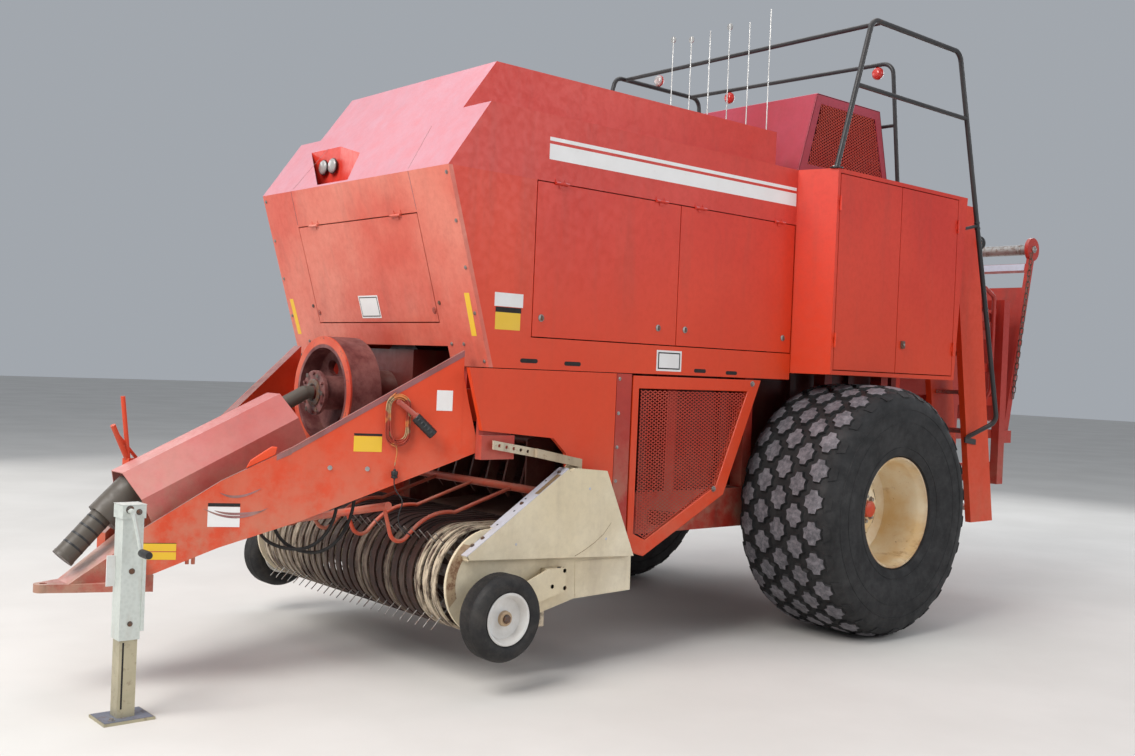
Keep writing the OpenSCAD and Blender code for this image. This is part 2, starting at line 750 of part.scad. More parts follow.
// Hitch: nose plate with the pin hole, and the wedge that rises to the tongue
hitch_rear_x = tongue_front[0] - 125;
module hitch() {
  low = hitch_z - hitch_t / 2;
  top = hitch_z + hitch_t / 2;
  color(RUST) centred() {
    difference() {
      translate([0, 0, low]) linear_extrude(hitch_t) union() {
        translate([pin_x, 0]) circle(r = tip_r);
        polygon([[pin_x, tip_r], [pin_x - 104, 90], tongue_front, [hitch_rear_x, tongue_out(hitch_rear_x)],
                 [hitch_rear_x, -tongue_out(hitch_rear_x)], [tongue_front[0], -tongue_front[1]],
                 [pin_x - 104, -90], [pin_x, -tip_r]]);
      }
      translate([pin_x, 0, low - over]) cylinder(r = pin_hole_r, h = hitch_t + 2 * over);
    }
    translate([0, 0, top - over]) linear_extrude(tongue_end_z[0] - top + over)
      polygon([tongue_front, [hitch_rear_x, tongue_out(hitch_rear_x)],
               [hitch_rear_x, -tongue_out(hitch_rear_x)], [tongue_front[0], -tongue_front[1]]]);
    intersection() {
      side_plate(-tongue_front[1], tongue_front[1])
        polygon([[pin_x - 84, top - over], [hitch_rear_x, top - over], [hitch_rear_x, tongue_end_z[1]],
                 [hitch_rear_x + 50, tongue_end_z[1]]]);
      linear_extrude(tongue_end_z[1])
        polygon([[pin_x - 84, 75], [tongue_front[0], tongue_in(tongue_front[0])],
                 [hitch_rear_x, tongue_in(hitch_rear_x + 90)], [hitch_rear_x, -tongue_in(hitch_rear_x + 90)],
                 [tongue_front[0], -tongue_in(tongue_front[0])], [pin_x - 84, -75]]);
    }
  }
}

// Long ridged shield over the driveline, open below, on two bars between the tongue's plates
shield_front = [4212, 889];
shield_rear = [3420, 1275];
shield_tilt = atan2(shield_rear[1] - shield_front[1], shield_front[0] - shield_rear[0]);
shield_len = norm(shield_front - shield_rear);
shield_wall = 5;
shield_skirt = 142;
// Room between the skirt's lower front corners and the tongue's plates
shield_gap = 10;
shield_half = tongue_in(shield_front[0] - shield_skirt * sin(shield_tilt)) - shield_gap;
// Section points: half-width, height
shield_top = [[shield_half, 0], [70, 130]];
module shield_section(inset) {
  side = shield_half - inset;
  ridge = shield_top[1] - [inset / 2, inset];
  low = -shield_skirt - (inset > 0 ? over : 0);
  polygon([[-side, low], [-side, shield_top[0][1]], [-ridge[0], ridge[1]], ridge,
           [side, shield_top[0][1]], [side, low]]);
}
function shield_floor(x) = shield_rear[1] - (x - shield_rear[0]) * tan(shield_tilt) - shield_skirt;
shield_bar = 40;
module drive_shield() {
  color(RED) centred() {
    translate([shield_rear[0], 0, shield_rear[1]]) rotate([0, shield_tilt, 0])
      rotate([90, 0, 90]) difference() {
        linear_extrude(shield_len) shield_section(0);
        translate([0, 0, -over]) linear_extrude(shield_len + 2 * over) shield_section(shield_wall);
      }
    for (x = [3560, 3985]) {
      y = tongue_in(x + shield_bar);
      block([x, -y, shield_floor(x) - shield_bar], [x + shield_bar, y, shield_floor(x)]);
    }
  }
}

// Driveline guard tube and its bell, resting towards the hitch
bell_rear = [4190, 0, 930];
module drive_guard() {
  color(DARK) centred() {
    x_rod(0, fly_z, shaft_end_x, shaft_end_x + 45, shaft_r);
    bar([shaft_end_x + 35, 0, fly_z], bell_rear, 76);
    bar(bell_rear, [4330, 0, 790], 160);
    bar([4290, 0, 845], [4505, 0, 612], 105);
  }
}

// Forked stand that holds the hoses over the hitch, on the right tongue plate
module hose_stand() {
  $fn = 12;
  y = -tongue_t - 15;
  bend = [1370, y, 890];
  fork = [1395, -30, 1030];
  heel = [1290, -20, 1010];
  tip = [1500, -20, 1215];
  cross_point = fork + 0.79 * (tip - fork);
  color(RED) centred() tongue_frame(-1) {
    block([1290, y - 5, 690], [1370, -tongue_t, 770]);
    bar([1330, y, 740], bend, 30);
    bar(bend - [2, 2, 15], fork, 28);
    block(fork - [20, 20, 20], fork + [20, 20, 20]);
    bar(fork, tip, 26);
    bar(fork, [1440, -20, 1356], 22);
    bar(fork, heel, 20);
    block(heel - [14, 14, 14], heel + [14, 14, 14]);
    bar(heel, cross_point, 18);
  }
}

// Jack: outer tube on an arm from the tongue, with its crank, and the leg that winds up inside
jack_low_z = jack_travel + 35;
leg_side = jack_side - 14;
leg_top_z = jack_top_z - jack_travel - 20;
foot_t = 12;
jack_off = [jack_x, jack_y] - tongue_rear;
jack_along = jack_off[0] * cos(tongue_angle) - jack_off[1] * sin(tongue_angle);
jack_out = jack_off[0] * sin(tongue_angle) + jack_off[1] * cos(tongue_angle);
module square_tube(x, y, side, low, high) {
  block([x - side / 2, y - side / 2, low], [x + side / 2, y + side / 2, high]);
}
module jack_tube() {
  color(STEEL) centred() {
    difference() {
      union() {
        square_tube(jack_x, jack_y, jack_side, jack_low_z, jack_top_z);
        square_tube(jack_x, jack_y, jack_side + 12, jack_top_z - 60, jack_top_z);
        tongue_frame(1) bar([jack_along, 0, 615], [jack_along, jack_out - 30, 615], 60);
        block([jack_x - jack_side / 2 - 14, jack_y - 50, 380], [jack_x - jack_side / 2, jack_y + 50, 690]);
      }
      square_tube(jack_x, jack_y, leg_side + 2 * fit_gap, jack_low_z - over, jack_top_z - 12);
    }
    y_rod(jack_x + 20, jack_top_z - 25, jack_y + jack_side / 2, jack_y + 90, 11);
    bar([jack_x + 20, jack_y + 80, jack_top_z - 20], [jack_x - 10, jack_y + 115, 725], 16);
    y_rod(jack_x - 10, 728, jack_y + 105, jack_y + 200, 14);
  }
}

module jack_leg() {
  color(STEEL) centred() {
    square_tube(jack_x, jack_y, leg_side, foot_t - over, leg_top_z);
    block([jack_x - 110, jack_y - 90, 0], [jack_x + 110, jack_y + 90, foot_t]);
  }
}

// Feeder: throat under the chamber and the packer forks behind the pickup
fork_x = chamber_front_x + 100;
fork_z = 1180;
module feeder() {
  throat_t = 12;
  throat_half = 560;
  throat_low = [[1150, 780], [2200, 700], [2200, 700 + throat_t], [1150, 780 + throat_t]];
  color(DARK_RED) centred() {
    side_plate(-throat_half, throat_half) polygon(throat_low);
    for (side = [-1, 1]) on_side(side)
      side_plate(throat_half, throat_half + throat_t)
        polygon([[feed_x[0], sill_top_z], [chamber_front_x + 15, sill_top_z], [fork_x - 30, fork_z + 60],
                 [2240, fork_z], [2240, 700], [1150, 780]]);
    y_rod(fork_x, fork_z, -throat_half, throat_half, 40);
    for (y = [-480:160:480])
      side_plate(y - 8, y + 8)
        polygon([[fork_x - 40, fork_z], [fork_x + 40, fork_z], [fork_x + 110, 900], [fork_x + 60, 840]]);
  }
}

// Pickup: end plates, shields and gauge wheel arms
shield_t = 12;
shield_pts = [[2950, 640], [2290, 1070], [2060, 1050], [1840, 585]];
gauge_arm_y = [shield_y, shield_y + gauge_arm_t];
gauge_pin_r = 20;
wheel_in_y = gauge_y - gauge_w;
reel_shaft_r = 30;
module pickup_frame() {
  color(CREAM) centred() for (side = [-1, 1]) on_side(side) {
    difference() {
      side_plate(plate_in_y, plate_out_y) union() {
        translate([reel_x, reel_z]) circle(r = band_r);
        polygon([[reel_x, reel_z + band_r], [2330, 1030], [2275, 1120], [2215, 1115], [2190, 1040],
                 [2070, 1040], [1820, 640], [1810, 390], [2220, 380], [reel_x, reel_z - band_r]]);
      }
      y_rod(reel_x, reel_z, plate_in_y - over, plate_out_y + over, reel_shaft_r + fit_gap);
      y_rod(lift_x, lift_z, plate_in_y - over, plate_out_y + over, lift_pin_r + fit_gap);
    }
    side_plate(shield_y - shield_t, shield_y) polygon(shield_pts);
    side_plate(plate_out_y, shield_y - shield_t)
      polygon([shield_pts[0], shield_pts[1], shield_pts[1] - [7, 10], shield_pts[0] - [7, 10]]);
    side_plate(plate_out_y, shield_y) polygon([[2450, 560], [2330, 560], [2330, 440], [2450, 420]]);
    side_plate(gauge_arm_y[0], gauge_arm_y[1])
      polygon([[2330, 560], [2450, 560], [gauge_x + 40, gauge_z + 30], [gauge_x + 40, gauge_z - 40],
               [gauge_x - 40, gauge_z - 40], [2330, 440]]);
    y_rod(gauge_x, gauge_z, gauge_arm_y[0], gauge_y - 40, gauge_pin_r);
  }
}

// Stripper bands round the reel, on the plate behind it
band_t = 10;
back_x = [2405, 2435];
module stripper_bands() {
  color(CREAM) centred() {
    for (i = [0:tine_count]) {
      y = (i - tine_count / 2) * tine_pitch;
      side_plate(y - band_w / 2, y + band_w / 2) difference() {
        union() {
          translate([reel_x, reel_z]) circle(r = band_r);
          translate([back_x[0], reel_z - band_r]) square([reel_x - back_x[0], 2 * band_r]);
        }
        translate([reel_x, reel_z]) circle(r = band_r - band_t);
        translate([back_x[1], reel_z - band_r + band_t])
          square([reel_x - back_x[1], 2 * (band_r - band_t)]);
      }
    }
    block([back_x[0], -plate_in_y, reel_z - band_r], [back_x[1], plate_in_y, reel_z + band_r]);
  }
}

// Reel: shaft, spiders, tine bars and tines
bar_ring = 190;
module pickup_reel() {
  half = tine_pitch * tine_count / 2;
  color(STEEL) centred() {
    y_rod(reel_x, reel_z, -plate_out_y - 10, plate_out_y + 10, reel_shaft_r);
    for (turn = [45:90:359]) translate([reel_x, 0, reel_z]) rotate([0, turn, 0]) {
      y_rod(bar_ring, 0, -half, half, 12);
      for (i = [0:tine_count - 1])
        translate([bar_ring, (i + 0.5) * tine_pitch - half, 0]) rotate([0, 90, 0])
          cylinder(d = tine_d, h = tine_r - bar_ring);
      for (y = [-1, 0, 1] * (half - 75)) block([0, y - 5, -25], [bar_ring, y + 5, 25]);
    }
  }
}

// Windguard: crossbar hanging askew in front, with curved tubes back over the reel
guard_bar_x = 3160;
guard_bar_y = [-650, 635];
guard_bar_slope = 0.1936;
function guard_bar_z(y) = 868 + (y - guard_bar_y[1]) * guard_bar_slope;
guard_ring = 300;
guard_arc = [45, 100];
guard_pivot = [2350, 930];
// Bands that the tubes hang over
guard_bands = [6, 11, 16, 21];
function guard_tip(turn) = guard_ring * [cos(turn), 0, sin(turn)];
module windguard() {
  color(RED) centred() {
    bar([guard_bar_x, guard_bar_y[0], guard_bar_z(guard_bar_y[0])],
        [guard_bar_x, guard_bar_y[1], guard_bar_z(guard_bar_y[1])], 40);
    y_rod(guard_pivot[0], guard_pivot[1], -plate_in_y, plate_in_y, 22);
    for (i = guard_bands) {
      y = (i - tine_count / 2) * tine_pitch;
      reel = [reel_x, y, reel_z];
      low = guard_tip(guard_arc[0]);
      ahead = 140 * [sin(guard_arc[0]), 0, -cos(guard_arc[0])];
      bent_tube([[guard_bar_x, y, guard_bar_z(y)], reel + low + ahead, reel + low - ahead / 70], 20, 60);
      translate(reel) rotate([90, 0, 0]) rotate(guard_arc[0])
        rotate_extrude(angle = guard_arc[1] - guard_arc[0])
          translate([guard_ring, 0]) circle(d = 20 + bend_over);
      bar(reel + guard_tip(guard_arc[1] - 0.4), [guard_pivot[0], y, guard_pivot[1]], 20);
    }
  }
}

// Lift link on the shield's ear: a bar, then a perforated strap to the tongue's bracket
link_pts = [[2785, 1192], [2500, 1145], [2245, 1092]];
module lift_link() {
  strap_t = 8;
  half = 22;
  color(CREAM) centred() for (side = [-1, 1]) on_side(side) {
    side_plate(plate_out_y, plate_out_y + 30)
      polygon([link_pts[1] + [30, half + 5], link_pts[1] + [30, 5 - half], link_pts[2] + [-20, -half],
               link_pts[2] + [-20, half]]);
    side_plate(plate_out_y, plate_out_y + strap_t) difference() {
      polygon([link_pts[0] + [10, half], link_pts[0] + [10, -half], link_pts[1] + [0, -half],
               link_pts[1] + [0, half]]);
      for (share = [0.1:0.16:0.8])
        translate(link_pts[0] + (link_pts[1] - link_pts[0]) * share) circle(r = 9);
    }
  }
}

// Wheels
tyre_shoulder = 45;
lug_count = 25;
lug_gap = 55;
lug_depth = 22;
module tyre(side) {
  half = tyre_w / 2;
  bead_r = rim_r - 12;
  // Half section: radius, distance from the tyre's middle plane
  wall = [[bead_r, half - 60], [rim_r + 60, half - 20], [tyre_r - 160, half], [tyre_r - 80, half - 12],
          [tyre_r - 35, half - tyre_shoulder], [tyre_r - 8, half - 110], [tyre_r, half - 200]];
  color(DARK) centred() on_side(side)
    translate([0, track_half - half, axle_z]) rotate([90, 0, 0]) difference() {
      rotate_extrude($fn = 72)
        polygon(concat(wall, [for (i = [len(wall) - 1:-1:0]) [wall[i][0], -wall[i][1]]]));
      // grooves between the shoulder lugs, staggered from side to side
      for (end = [-1, 1], i = [0:lug_count - 1])
        rotate((i + end / 4) * 360 / lug_count) rotate([90, 0, 0]) linear_extrude(lug_gap, center = true)
          polygon([[tyre_r - lug_depth, end * (half - 165)], [tyre_r - lug_depth - 16, end * (half - 60)],
                   [tyre_r - 70, end * (half - 5)], [tyre_r + over, end * (half - 5)],
                   [tyre_r + over, end * (half - 165)]]);
    }
}

module rim(side) {
  out = track_half - 50;
  seat_r = rim_r - 12 - fit_gap;
  bore_r = spindle_r + fit_gap;
  color(CREAM) centred() on_side(side) translate([0, 0, axle_z]) rotate([90, 0, 0]) mirror([0, 0, 1])
    rotate_extrude($fn = 72)
      polygon([[seat_r, hub_in_y], [seat_r, out], [seat_r - 10, out], [rim_r - 34, out - 60],
               [rim_r - 50, out - 300], [250, out - 330], [140, out - 250], [110, out - 250],
               [110, out - 230], [bore_r, out - 230], [bore_r, hub_in_y], [110, hub_in_y],
               [110, out - 272], [150, out - 272], [255, out - 350], [rim_r - 50, out - 330],
               [rim_r - 30, hub_in_y]]);
}

module gauge_wheel(side) {
  bore_r = gauge_pin_r + fit_gap;
  color(DARK) centred() on_side(side) translate([gauge_x, 0, gauge_z]) rotate([90, 0, 0]) mirror([0, 0, 1])
    rotate_extrude()
      polygon([[bore_r, gauge_y - 60], [bore_r, wheel_in_y + 20], [45, wheel_in_y + 20],
               [105, wheel_in_y + 30], [150, wheel_in_y], [gauge_r - 21, wheel_in_y + 15],
               [gauge_r, wheel_in_y + 45], [gauge_r, gauge_y - 45], [gauge_r - 21, gauge_y - 15],
               [150, gauge_y], [105, gauge_y - 20], [95, gauge_y - 50], [45, gauge_y - 60]]);
}

// Deck between the twine boxes, with the apron that closes the space under its rear edge
apron_x = box_rear_x + box_lean - 7;
module deck() {
  chamber_top_z = bale_low_z + bale_h + plate_t;
  color(DARK_RED) centred() {
    block([box_rear_x, -box_in_y, shoulder_z - shell_t], [box_x, box_in_y, shoulder_z]);
    for (side = [-1, 1]) on_side(side)
      block([upright_x[0], sill_in_y, upright_top_z],
            [upright_x[2] + upright_w, sill_out_y, shoulder_z - shell_t]);
    block([apron_x - 12, -box_in_y, chamber_top_z], [apron_x, box_in_y, shoulder_z - shell_t]);
  }
}

// Fan housing on the deck, with a mesh window in each end
fan_front = [[121, shoulder_z], [-74, fan_top_z]];
fan_rear = [[-952, shoulder_z], [-793, fan_top_z]];
fan_window = [[0, 3010], [-120, 3430], [-740, 3430], [-860, 3010]];
module fan_housing() {
  color(RED) centred() {
    difference() {
      side_plate(-fan_half, fan_half) polygon([fan_front[0], fan_front[1], fan_rear[1], fan_rear[0]]);
      side_plate(-fan_half + fan_t, fan_half - fan_t)
        polygon([fan_front[0] - [fan_t, over], fan_front[1] - [fan_t, fan_t],
                 fan_rear[1] + [fan_t, -fan_t], fan_rear[0] + [fan_t, -over]]);
      side_plate(-fan_half - over, fan_half + over) polygon(fan_window);
    }
    for (side = [-1, 1]) on_side(side)
      side_plate(fan_half - 6, fan_half - 2) intersection() {
        polygon(fan_window);
        union() for (turn = [-38, 38], i = [-8:8])
          translate([-430, 3220]) rotate(turn) translate([-600, i * mesh_step - mesh_bar / 2])
            square([1200, mesh_bar]);
      }
  }
}

// Platform rails and the handrail down the ladder
rail_bend = 80;
rail_front_x = [385, 80];
rail_rear_x = [-960, -860];
handrail = [[-940, rail_z], [-1640, 1330]];
rail_post_y = 680;
rail_post_x = [-1020, -880];
// Station on a leaning post, given by its stations at the deck and at the rail, at a height
function post_at(post, z) = post[0] + (post[1] - post[0]) * (z - shoulder_z) / (rail_z - shoulder_z);
rail_mid_d = rail_d - 4;
// Station of the handrail at a height
function handrail_x(z) = handrail[0][0] + (handrail[1][0] - handrail[0][0]) * (rail_z - z) / (rail_z - handrail[1][1]);
// Heights of the handrail's stay at the twine box and at the handrail
stay_z = [2660, 2705];
// The bar across the rear, from the right side rail to the inner post's bend
rear_bar_x = [rail_rear_x[1] + rail_bend + 20, rail_post_x[1]];
function rear_bar(y) = rear_bar_x[0] + (rear_bar_x[1] - rear_bar_x[0]) * (y + rail_y) / (rail_post_y + rail_y);
module platform_rails() {
  foot_z = shoulder_z - 30;
  color(DARK) centred() difference() {
    union() {
      bent_tube([[post_at(rail_front_x, foot_z), rail_y, foot_z], [rail_front_x[1], rail_y, rail_z],
                 [handrail[0][0], rail_y, rail_z], [handrail[1][0], rail_y, handrail[1][1]],
                 [-1500, ladder_y - 20, 1190]], rail_d, rail_bend);
      bent_tube([[post_at(rail_front_x, foot_z), -rail_y, foot_z], [rail_front_x[1], -rail_y, rail_z],
                 [rail_rear_x[1], -rail_y, rail_z], [post_at(rail_rear_x, foot_z), -rail_y, foot_z]],
                rail_d, rail_bend);
      bent_tube([[rear_bar_x[0], -rail_y, rail_z], [rear_bar_x[1], rail_post_y, rail_z],
                 [post_at(rail_post_x, foot_z), rail_post_y, foot_z]], rail_mid_d, rail_bend);
      bar([rail_front_x[1] - rail_bend - 20, -rail_y, rail_z],
          [rail_front_x[1] - rail_bend - 20, rail_y, rail_z], rail_mid_d);
      bar([post_at(rail_front_x, mid_rail_z), rail_y, mid_rail_z], [handrail_x(mid_rail_z), rail_y, mid_rail_z], rail_mid_d);
      bar([post_at(rail_front_x, mid_rail_z), -rail_y, mid_rail_z],
          [post_at(rail_rear_x, mid_rail_z), -rail_y, mid_rail_z], rail_mid_d);
      bar([post_at(rail_rear_x, mid_rail_z), -rail_y, mid_rail_z],
          [post_at(rail_post_x, mid_rail_z), rail_post_y, mid_rail_z], rail_mid_d - 4);
    }
    block([box_rear_x, -box_half, shoulder_z - 80], [box_x, box_half, shoulder_z]);
    block([-1640, 0, 1100], [-1400, ladder_y, 1400]);
  }
  // stay from the twine box to the handrail, and the handrail's flat foot on the stringer
  color(DARK) centred() {
    side_plate(rail_y - 30, rail_y + 20)
      polygon([[box_rear(stay_z[0] - 35), stay_z[0] - 35], [box_rear(stay_z[0] + 35), stay_z[0] + 35],
               [box_rear(stay_z[0] + 35) - 12, stay_z[0] + 35], [box_rear(stay_z[0] - 35) - 12, stay_z[0] - 35]]);
    bar([box_rear(stay_z[0]) - 8, rail_y, stay_z[0]], [handrail_x(stay_z[1]), rail_y, stay_z[1]], 22);
    side_plate(ladder_y, ladder_y + 10)
      polygon([[-1625, 1150], [-1480, 1168], [-1480, 1208], [-1625, 1190]]);
  }
}

// Ladder: two leaning stringers with treads
ladder_lean = 0.179;
stringer_w = 300;
// Station and height where a stringer's front edge bends
ladder_bend = [-1320, 2260];
function ladder_front(z) = ladder_bend[0] - (ladder_bend[1] - z) * ladder_lean;
module ladder() {
  color(RED) centred() {
    for (y = [ladder_in_y, ladder_y - stringer_t])
      side_plate(y, y + stringer_t)
        polygon([[box_rear_x, shoulder_z], [box_rear_x, shoulder_z - 12], [-1200, 2700],
                 ladder_bend, [ladder_front(ladder_low_z), ladder_low_z],
                 [ladder_front(ladder_low_z) - stringer_w, ladder_low_z],
                 [ladder_front(shoulder_z) - stringer_w, shoulder_z]]);
    for (i = [0:7]) {
      z = ladder_low_z + 80 + i * 285;
      x = ladder_front(z) - stringer_w / 2;
      block([x - 90, ladder_in_y + stringer_t, z], [x + 90, ladder_y - stringer_t, z + 28]);
    }
  }
}

// Tell-tale rods of the knotters: top of each, and whether it carries a disc
flag_tops = [[4015, true], [3983, true], [3990, false], [4007, true], [3980, false], [4034, false]];
flag_step = 180;
module flag_rods() {
  half = (len(flag_tops) - 1) * flag_step / 2;
  color(STEEL) centred() {
    block([180, -half - 40, shoulder_z], [220, half + 40, shoulder_z + 30]);
    for (i = [0:len(flag_tops) - 1]) {
      y = i * flag_step - half;
      top = flag_tops[i][0];
      translate([200, y, shoulder_z + 20]) cylinder(d = 8, h = top - shoulder_z - 20);
      if (flag_tops[i][1]) x_rod(y, top - 24, 197, 203, 24);
    }
  }
}

// Lamps on the rails, on the ladder and in the nose's pocket
lamp_l = 60;
rail_lamp_r = 45;
head_lamp_r = 45;
ladder_lamp_z = 2620;
module lamps() {
  lean = atan(ladder_lean);
  rear_edge = [ladder_front(ladder_lamp_z) - stringer_w, ladder_y - stringer_t / 2, ladder_lamp_z];
  hang_z = rail_z - rail_mid_d / 2 - rail_lamp_r - fit_gap;
  color("orange") centred() {
    x_rod(-rail_y, rail_z + rail_d / 2 + rail_lamp_r + fit_gap, -420, -420 + lamp_l, rail_lamp_r);
    for (y = [-770, 560])
      x_rod(y, hang_z, rear_bar(y) - lamp_l / 2, rear_bar(y) + lamp_l / 2, rail_lamp_r);
    bar(rear_edge, rear_edge + lamp_l * [-cos(lean), 0, sin(lean)], 2 * rail_lamp_r);
    for (y = [-52, 52])
      x_rod(lamp_y + y, lamp_z, pocket_back_x, pocket_back_x + 35, head_lamp_r);
  }
}

// Bale chute folded up behind the chamber
chute_arm = 30;
module chute() {
  in_y = chute_y - chute_arm;
  color(RED) centred() translate([chute_x, 0, chute_z]) rotate([0, -chute_lean, 0]) {
    for (side = [-1, 1]) on_side(side)
      side_plate(in_y, chute_y) difference() {
        union() {
          translate([-35, -35]) square([70, chute_len + 35]);
          translate([0, chute_len]) circle(r = chute_end_r);
        }
        circle(r = chute_pin_r + fit_gap);
      }
    y_rod(0, chute_len, -in_y, in_y, 42);
    block([-30, -in_y, chute_len - 190], [30, in_y, chute_len - 130]);
    block([-12, -in_y, 140], [12, in_y, chute_len - 330]);
    block([-30, -in_y, 120], [30, in_y, 180]);
  }
}

// Slack chains that hang beside the chute's arms, from the end plates to the hinge
link_w = 34;
link_l = 66;
link_t = 9;
module chain_link() {
  rotate([90, 0, 0]) translate([0, 0, -link_t / 2]) linear_extrude(link_t) difference() {
    link_outline(link_w / 2);
    link_outline(link_w / 2 - link_t);
  }
}
module link_outline(r) {
  end = link_l / 2 - link_w / 2;
  polygon([for (turn = [22.5:45:359]) [r * cos(turn), r * sin(turn) + (turn < 180 ? end : -end)]]);
}
module chute_chains() {
  top = [roller_x + 60, roller_z - 60];
  low = [chute_x - 60, chute_z + 240];
  // The links grip each other by a little, so that a chain is one piece
  pitch = link_l - 2 * link_t + 1;
  count = floor(norm(top - low) / pitch);
  lean = atan2(low[0] - top[0], top[1] - low[1]);
  color(STEEL) centred() for (side = [-1, 1]) on_side(side)
    translate([top[0], chute_y + link_w / 2 * cos(22.5), top[1]]) rotate([0, -lean, 0])
      for (i = [0:count - 1])
        translate([0, 0, -i * pitch]) rotate(i % 2 * 90) chain_link();
}

// Lever with its grip on the left tongue plate
lever_root = [315, 1385.7];
module control_lever() {
  elbow = [lever_root[0], 55, lever_root[1]];
  color(RED) centred() tongue_frame(1) {
    y_rod(lever_root[0], lever_root[1], 0, 62, 14);
    bar(elbow, elbow + [-85, 5, -66], 26);
    bar(elbow + [-75, 5, -58], elbow + [-165, 10, -150], 36);
  }
}

// Cords. A tube of eight sides along a route, given a direction that the route never takes.
module cord(route, d, across) {
  sides = 8;
  last = len(route) - 1;
  rings = [for (i = [0:last])
    let (t = unit(route[min(i + 1, last)] - route[max(i - 1, 0)]), s = unit(cross(t, across)), u = cross(s, t))
      for (k = [0:sides - 1]) route[i] + d / 2 * (cos(k * 360 / sides) * s + sin(k * 360 / sides) * u)];
  polyhedron(rings, concat(
    [[for (k = [sides - 1:-1:0]) k]],
    [[for (k = [0:sides - 1]) last * sides + k]],
    [for (i = [0:last - 1], k = [0:sides - 1])
      [i * sides + k, i * sides + (k + 1) % sides, (i + 1) * sides + k]],
    [for (i = [0:last - 1], k = [0:sides - 1])
      [i * sides + (k + 1) % sides, (i + 1) * sides + (k + 1) % sides, (i + 1) * sides + k]]));
}

// Hydraulic hoses that hang in loops under the left tongue plate, in the plate's frame:
// front end, rear end and lowest point as distance along the plate and height
hose_d = 17;
hose_front_ends = [[948, 770], [586, 900]];
hose_front_low_z = 655;
hose_rear_ends = [[880, 800], [500, 940]];
hose_rear_low_z = 635;
hose_y = [-76, -104];
hose_straight = 10;
function hose_route(ends, low_z, y) = concat(
  [[ends[0][0], y, ends[0][1]]],
  [for (turn = [0:7.5:180])
    let (end_z = (turn < 90 ? ends[0][1] : ends[1][1]) - hose_straight, mid = (ends[0][0] + ends[1][0]) / 2)
      [mid + (ends[0][0] - mid) * cos(turn), y, end_z - (end_z - low_z) * sin(turn)]],
  [[ends[1][0], y, ends[1][1]]]);
module hose_front() {
  color(DARK) centred() tongue_frame(1)
    cord(hose_route(hose_front_ends, hose_front_low_z, hose_y[0]), hose_d, [0, 1, 0]);
}
module hose_rear() {
  color(DARK) centred() tongue_frame(1)
    cord(hose_route(hose_rear_ends, hose_rear_low_z, hose_y[1]), hose_d, [0, 1, 0]);
}
// Fittings that the hoses' ends come out of
module hose_fittings() {
  for (end = hose_front_ends)
    block([end[0] - 18, hose_y[0] - 16, end[1]], [end[0] + 18, -tongue_t, end[1] + 34]);
  for (end = hose_rear_ends)
    block([end[0] - 18, hose_y[1] - 16, end[1]], [end[0] + 18, -tongue_t, end[1] + 34]);
}

// Wires: a hank hung on the lever's root, a tail down to a plug and a lead from the plug
wire_d = 6;
wire_y = 23;
hank_t = 34;
hank_r = 70;
hank_bore_r = 35;
hank_z = [1230, 1365];
plug_z = [1010, 1062];
plug_r = 17;
wire_tail_route = [[315, 1160], [315, 1146], [316, 1132], [318, 1118], [320, 1104], [322, 1090], [323, 1076],
                   [323, 1062]];
wire_lead_route = [[323, 1010], [323, 996], [321, 982], [317, 968], [311, 955], [303, 943], [294, 932],
                   [286, 921], [281, 908], [280, 894], [283, 880], [288, 866], [292, 852], [295, 838],
                   [296, 824], [295, 810], [291, 797], [285, 784], [276, 773], [265, 763], [253, 754],
                   [241, 746], [229, 739]];
module hank_outline(r) {
  for (z = hank_z) translate([lever_root[0], z]) circle(r = r);
  translate([lever_root[0] - r, hank_z[0]]) square([2 * r, hank_z[1] - hank_z[0]]);
}
module wire_hank() {
  color(RUST) centred() tongue_frame(1) side_plate(wire_y - hank_t / 2, wire_y + hank_t / 2) difference() {
    hank_outline(hank_r);
    hank_outline(hank_bore_r);
  }
}
module wire_tail() {
  color(RUST) centred() tongue_frame(1)
    cord([for (p = wire_tail_route) [p[0], wire_y, p[1]]], wire_d, [0, 1, 0]);
}
module wire_plug() {
  color(DARK) centred() tongue_frame(1)
    translate([wire_tail_route[7][0], wire_y, plug_z[0]]) cylinder(r = plug_r, h = plug_z[1] - plug_z[0]);
}
module wire_lead() {
  color(CREAM) centred() tongue_frame(1)
    cord([for (p = wire_lead_route) [p[0], wire_y, p[1]]], wire_d, [0, 1, 0]);
}

chassis();
bale_chamber();
rear_rails();
gearbox();
hood();
nose_panel();
front_door();
side_panel(1);  // side_panel_left
side_panel(-1);  // side_panel_right
side_door(1, 0);  // side_door_left_front
side_door(1, 1);  // side_door_left_rear
side_door(-1, 0);  // side_door_right_front
side_door(-1, 1);  // side_door_right_rear
lower_panel(1);  // lower_panel_left
lower_panel(-1);  // lower_panel_right
mesh_guard(1);  // mesh_guard_left
mesh_guard(-1);  // mesh_guard_right
twine_box(1);  // twine_box_left
twine_box(-1);  // twine_box_right
twine_door(1, 0);  // twine_door_left_front
twine_door(1, 1);  // twine_door_left_rear
twine_door(-1, 0);  // twine_door_right_front
twine_door(-1, 1);  // twine_door_right_rear
deck();
fan_housing();
platform_rails();
ladder();
flag_rods();
lamps();
tongue(1);  // tongue_left
tongue(-1);  // tongue_right
hitch();
drive_shield();
drive_guard();
hose_stand();
jack_tube();
jack_leg();
flywheel();
feeder();
lift_link();
pickup_frame();
stripper_bands();
windguard();
pickup_reel();
gauge_wheel(1);  // gauge_wheel_left
gauge_wheel(-1);  // gauge_wheel_right
tyre(1);  // main_tyre_left
tyre(-1);  // main_tyre_right
rim(1);  // main_rim_left
rim(-1);  // main_rim_right
chute();
chute_chains();
control_lever();
hose_front();
hose_rear();
wire_hank();
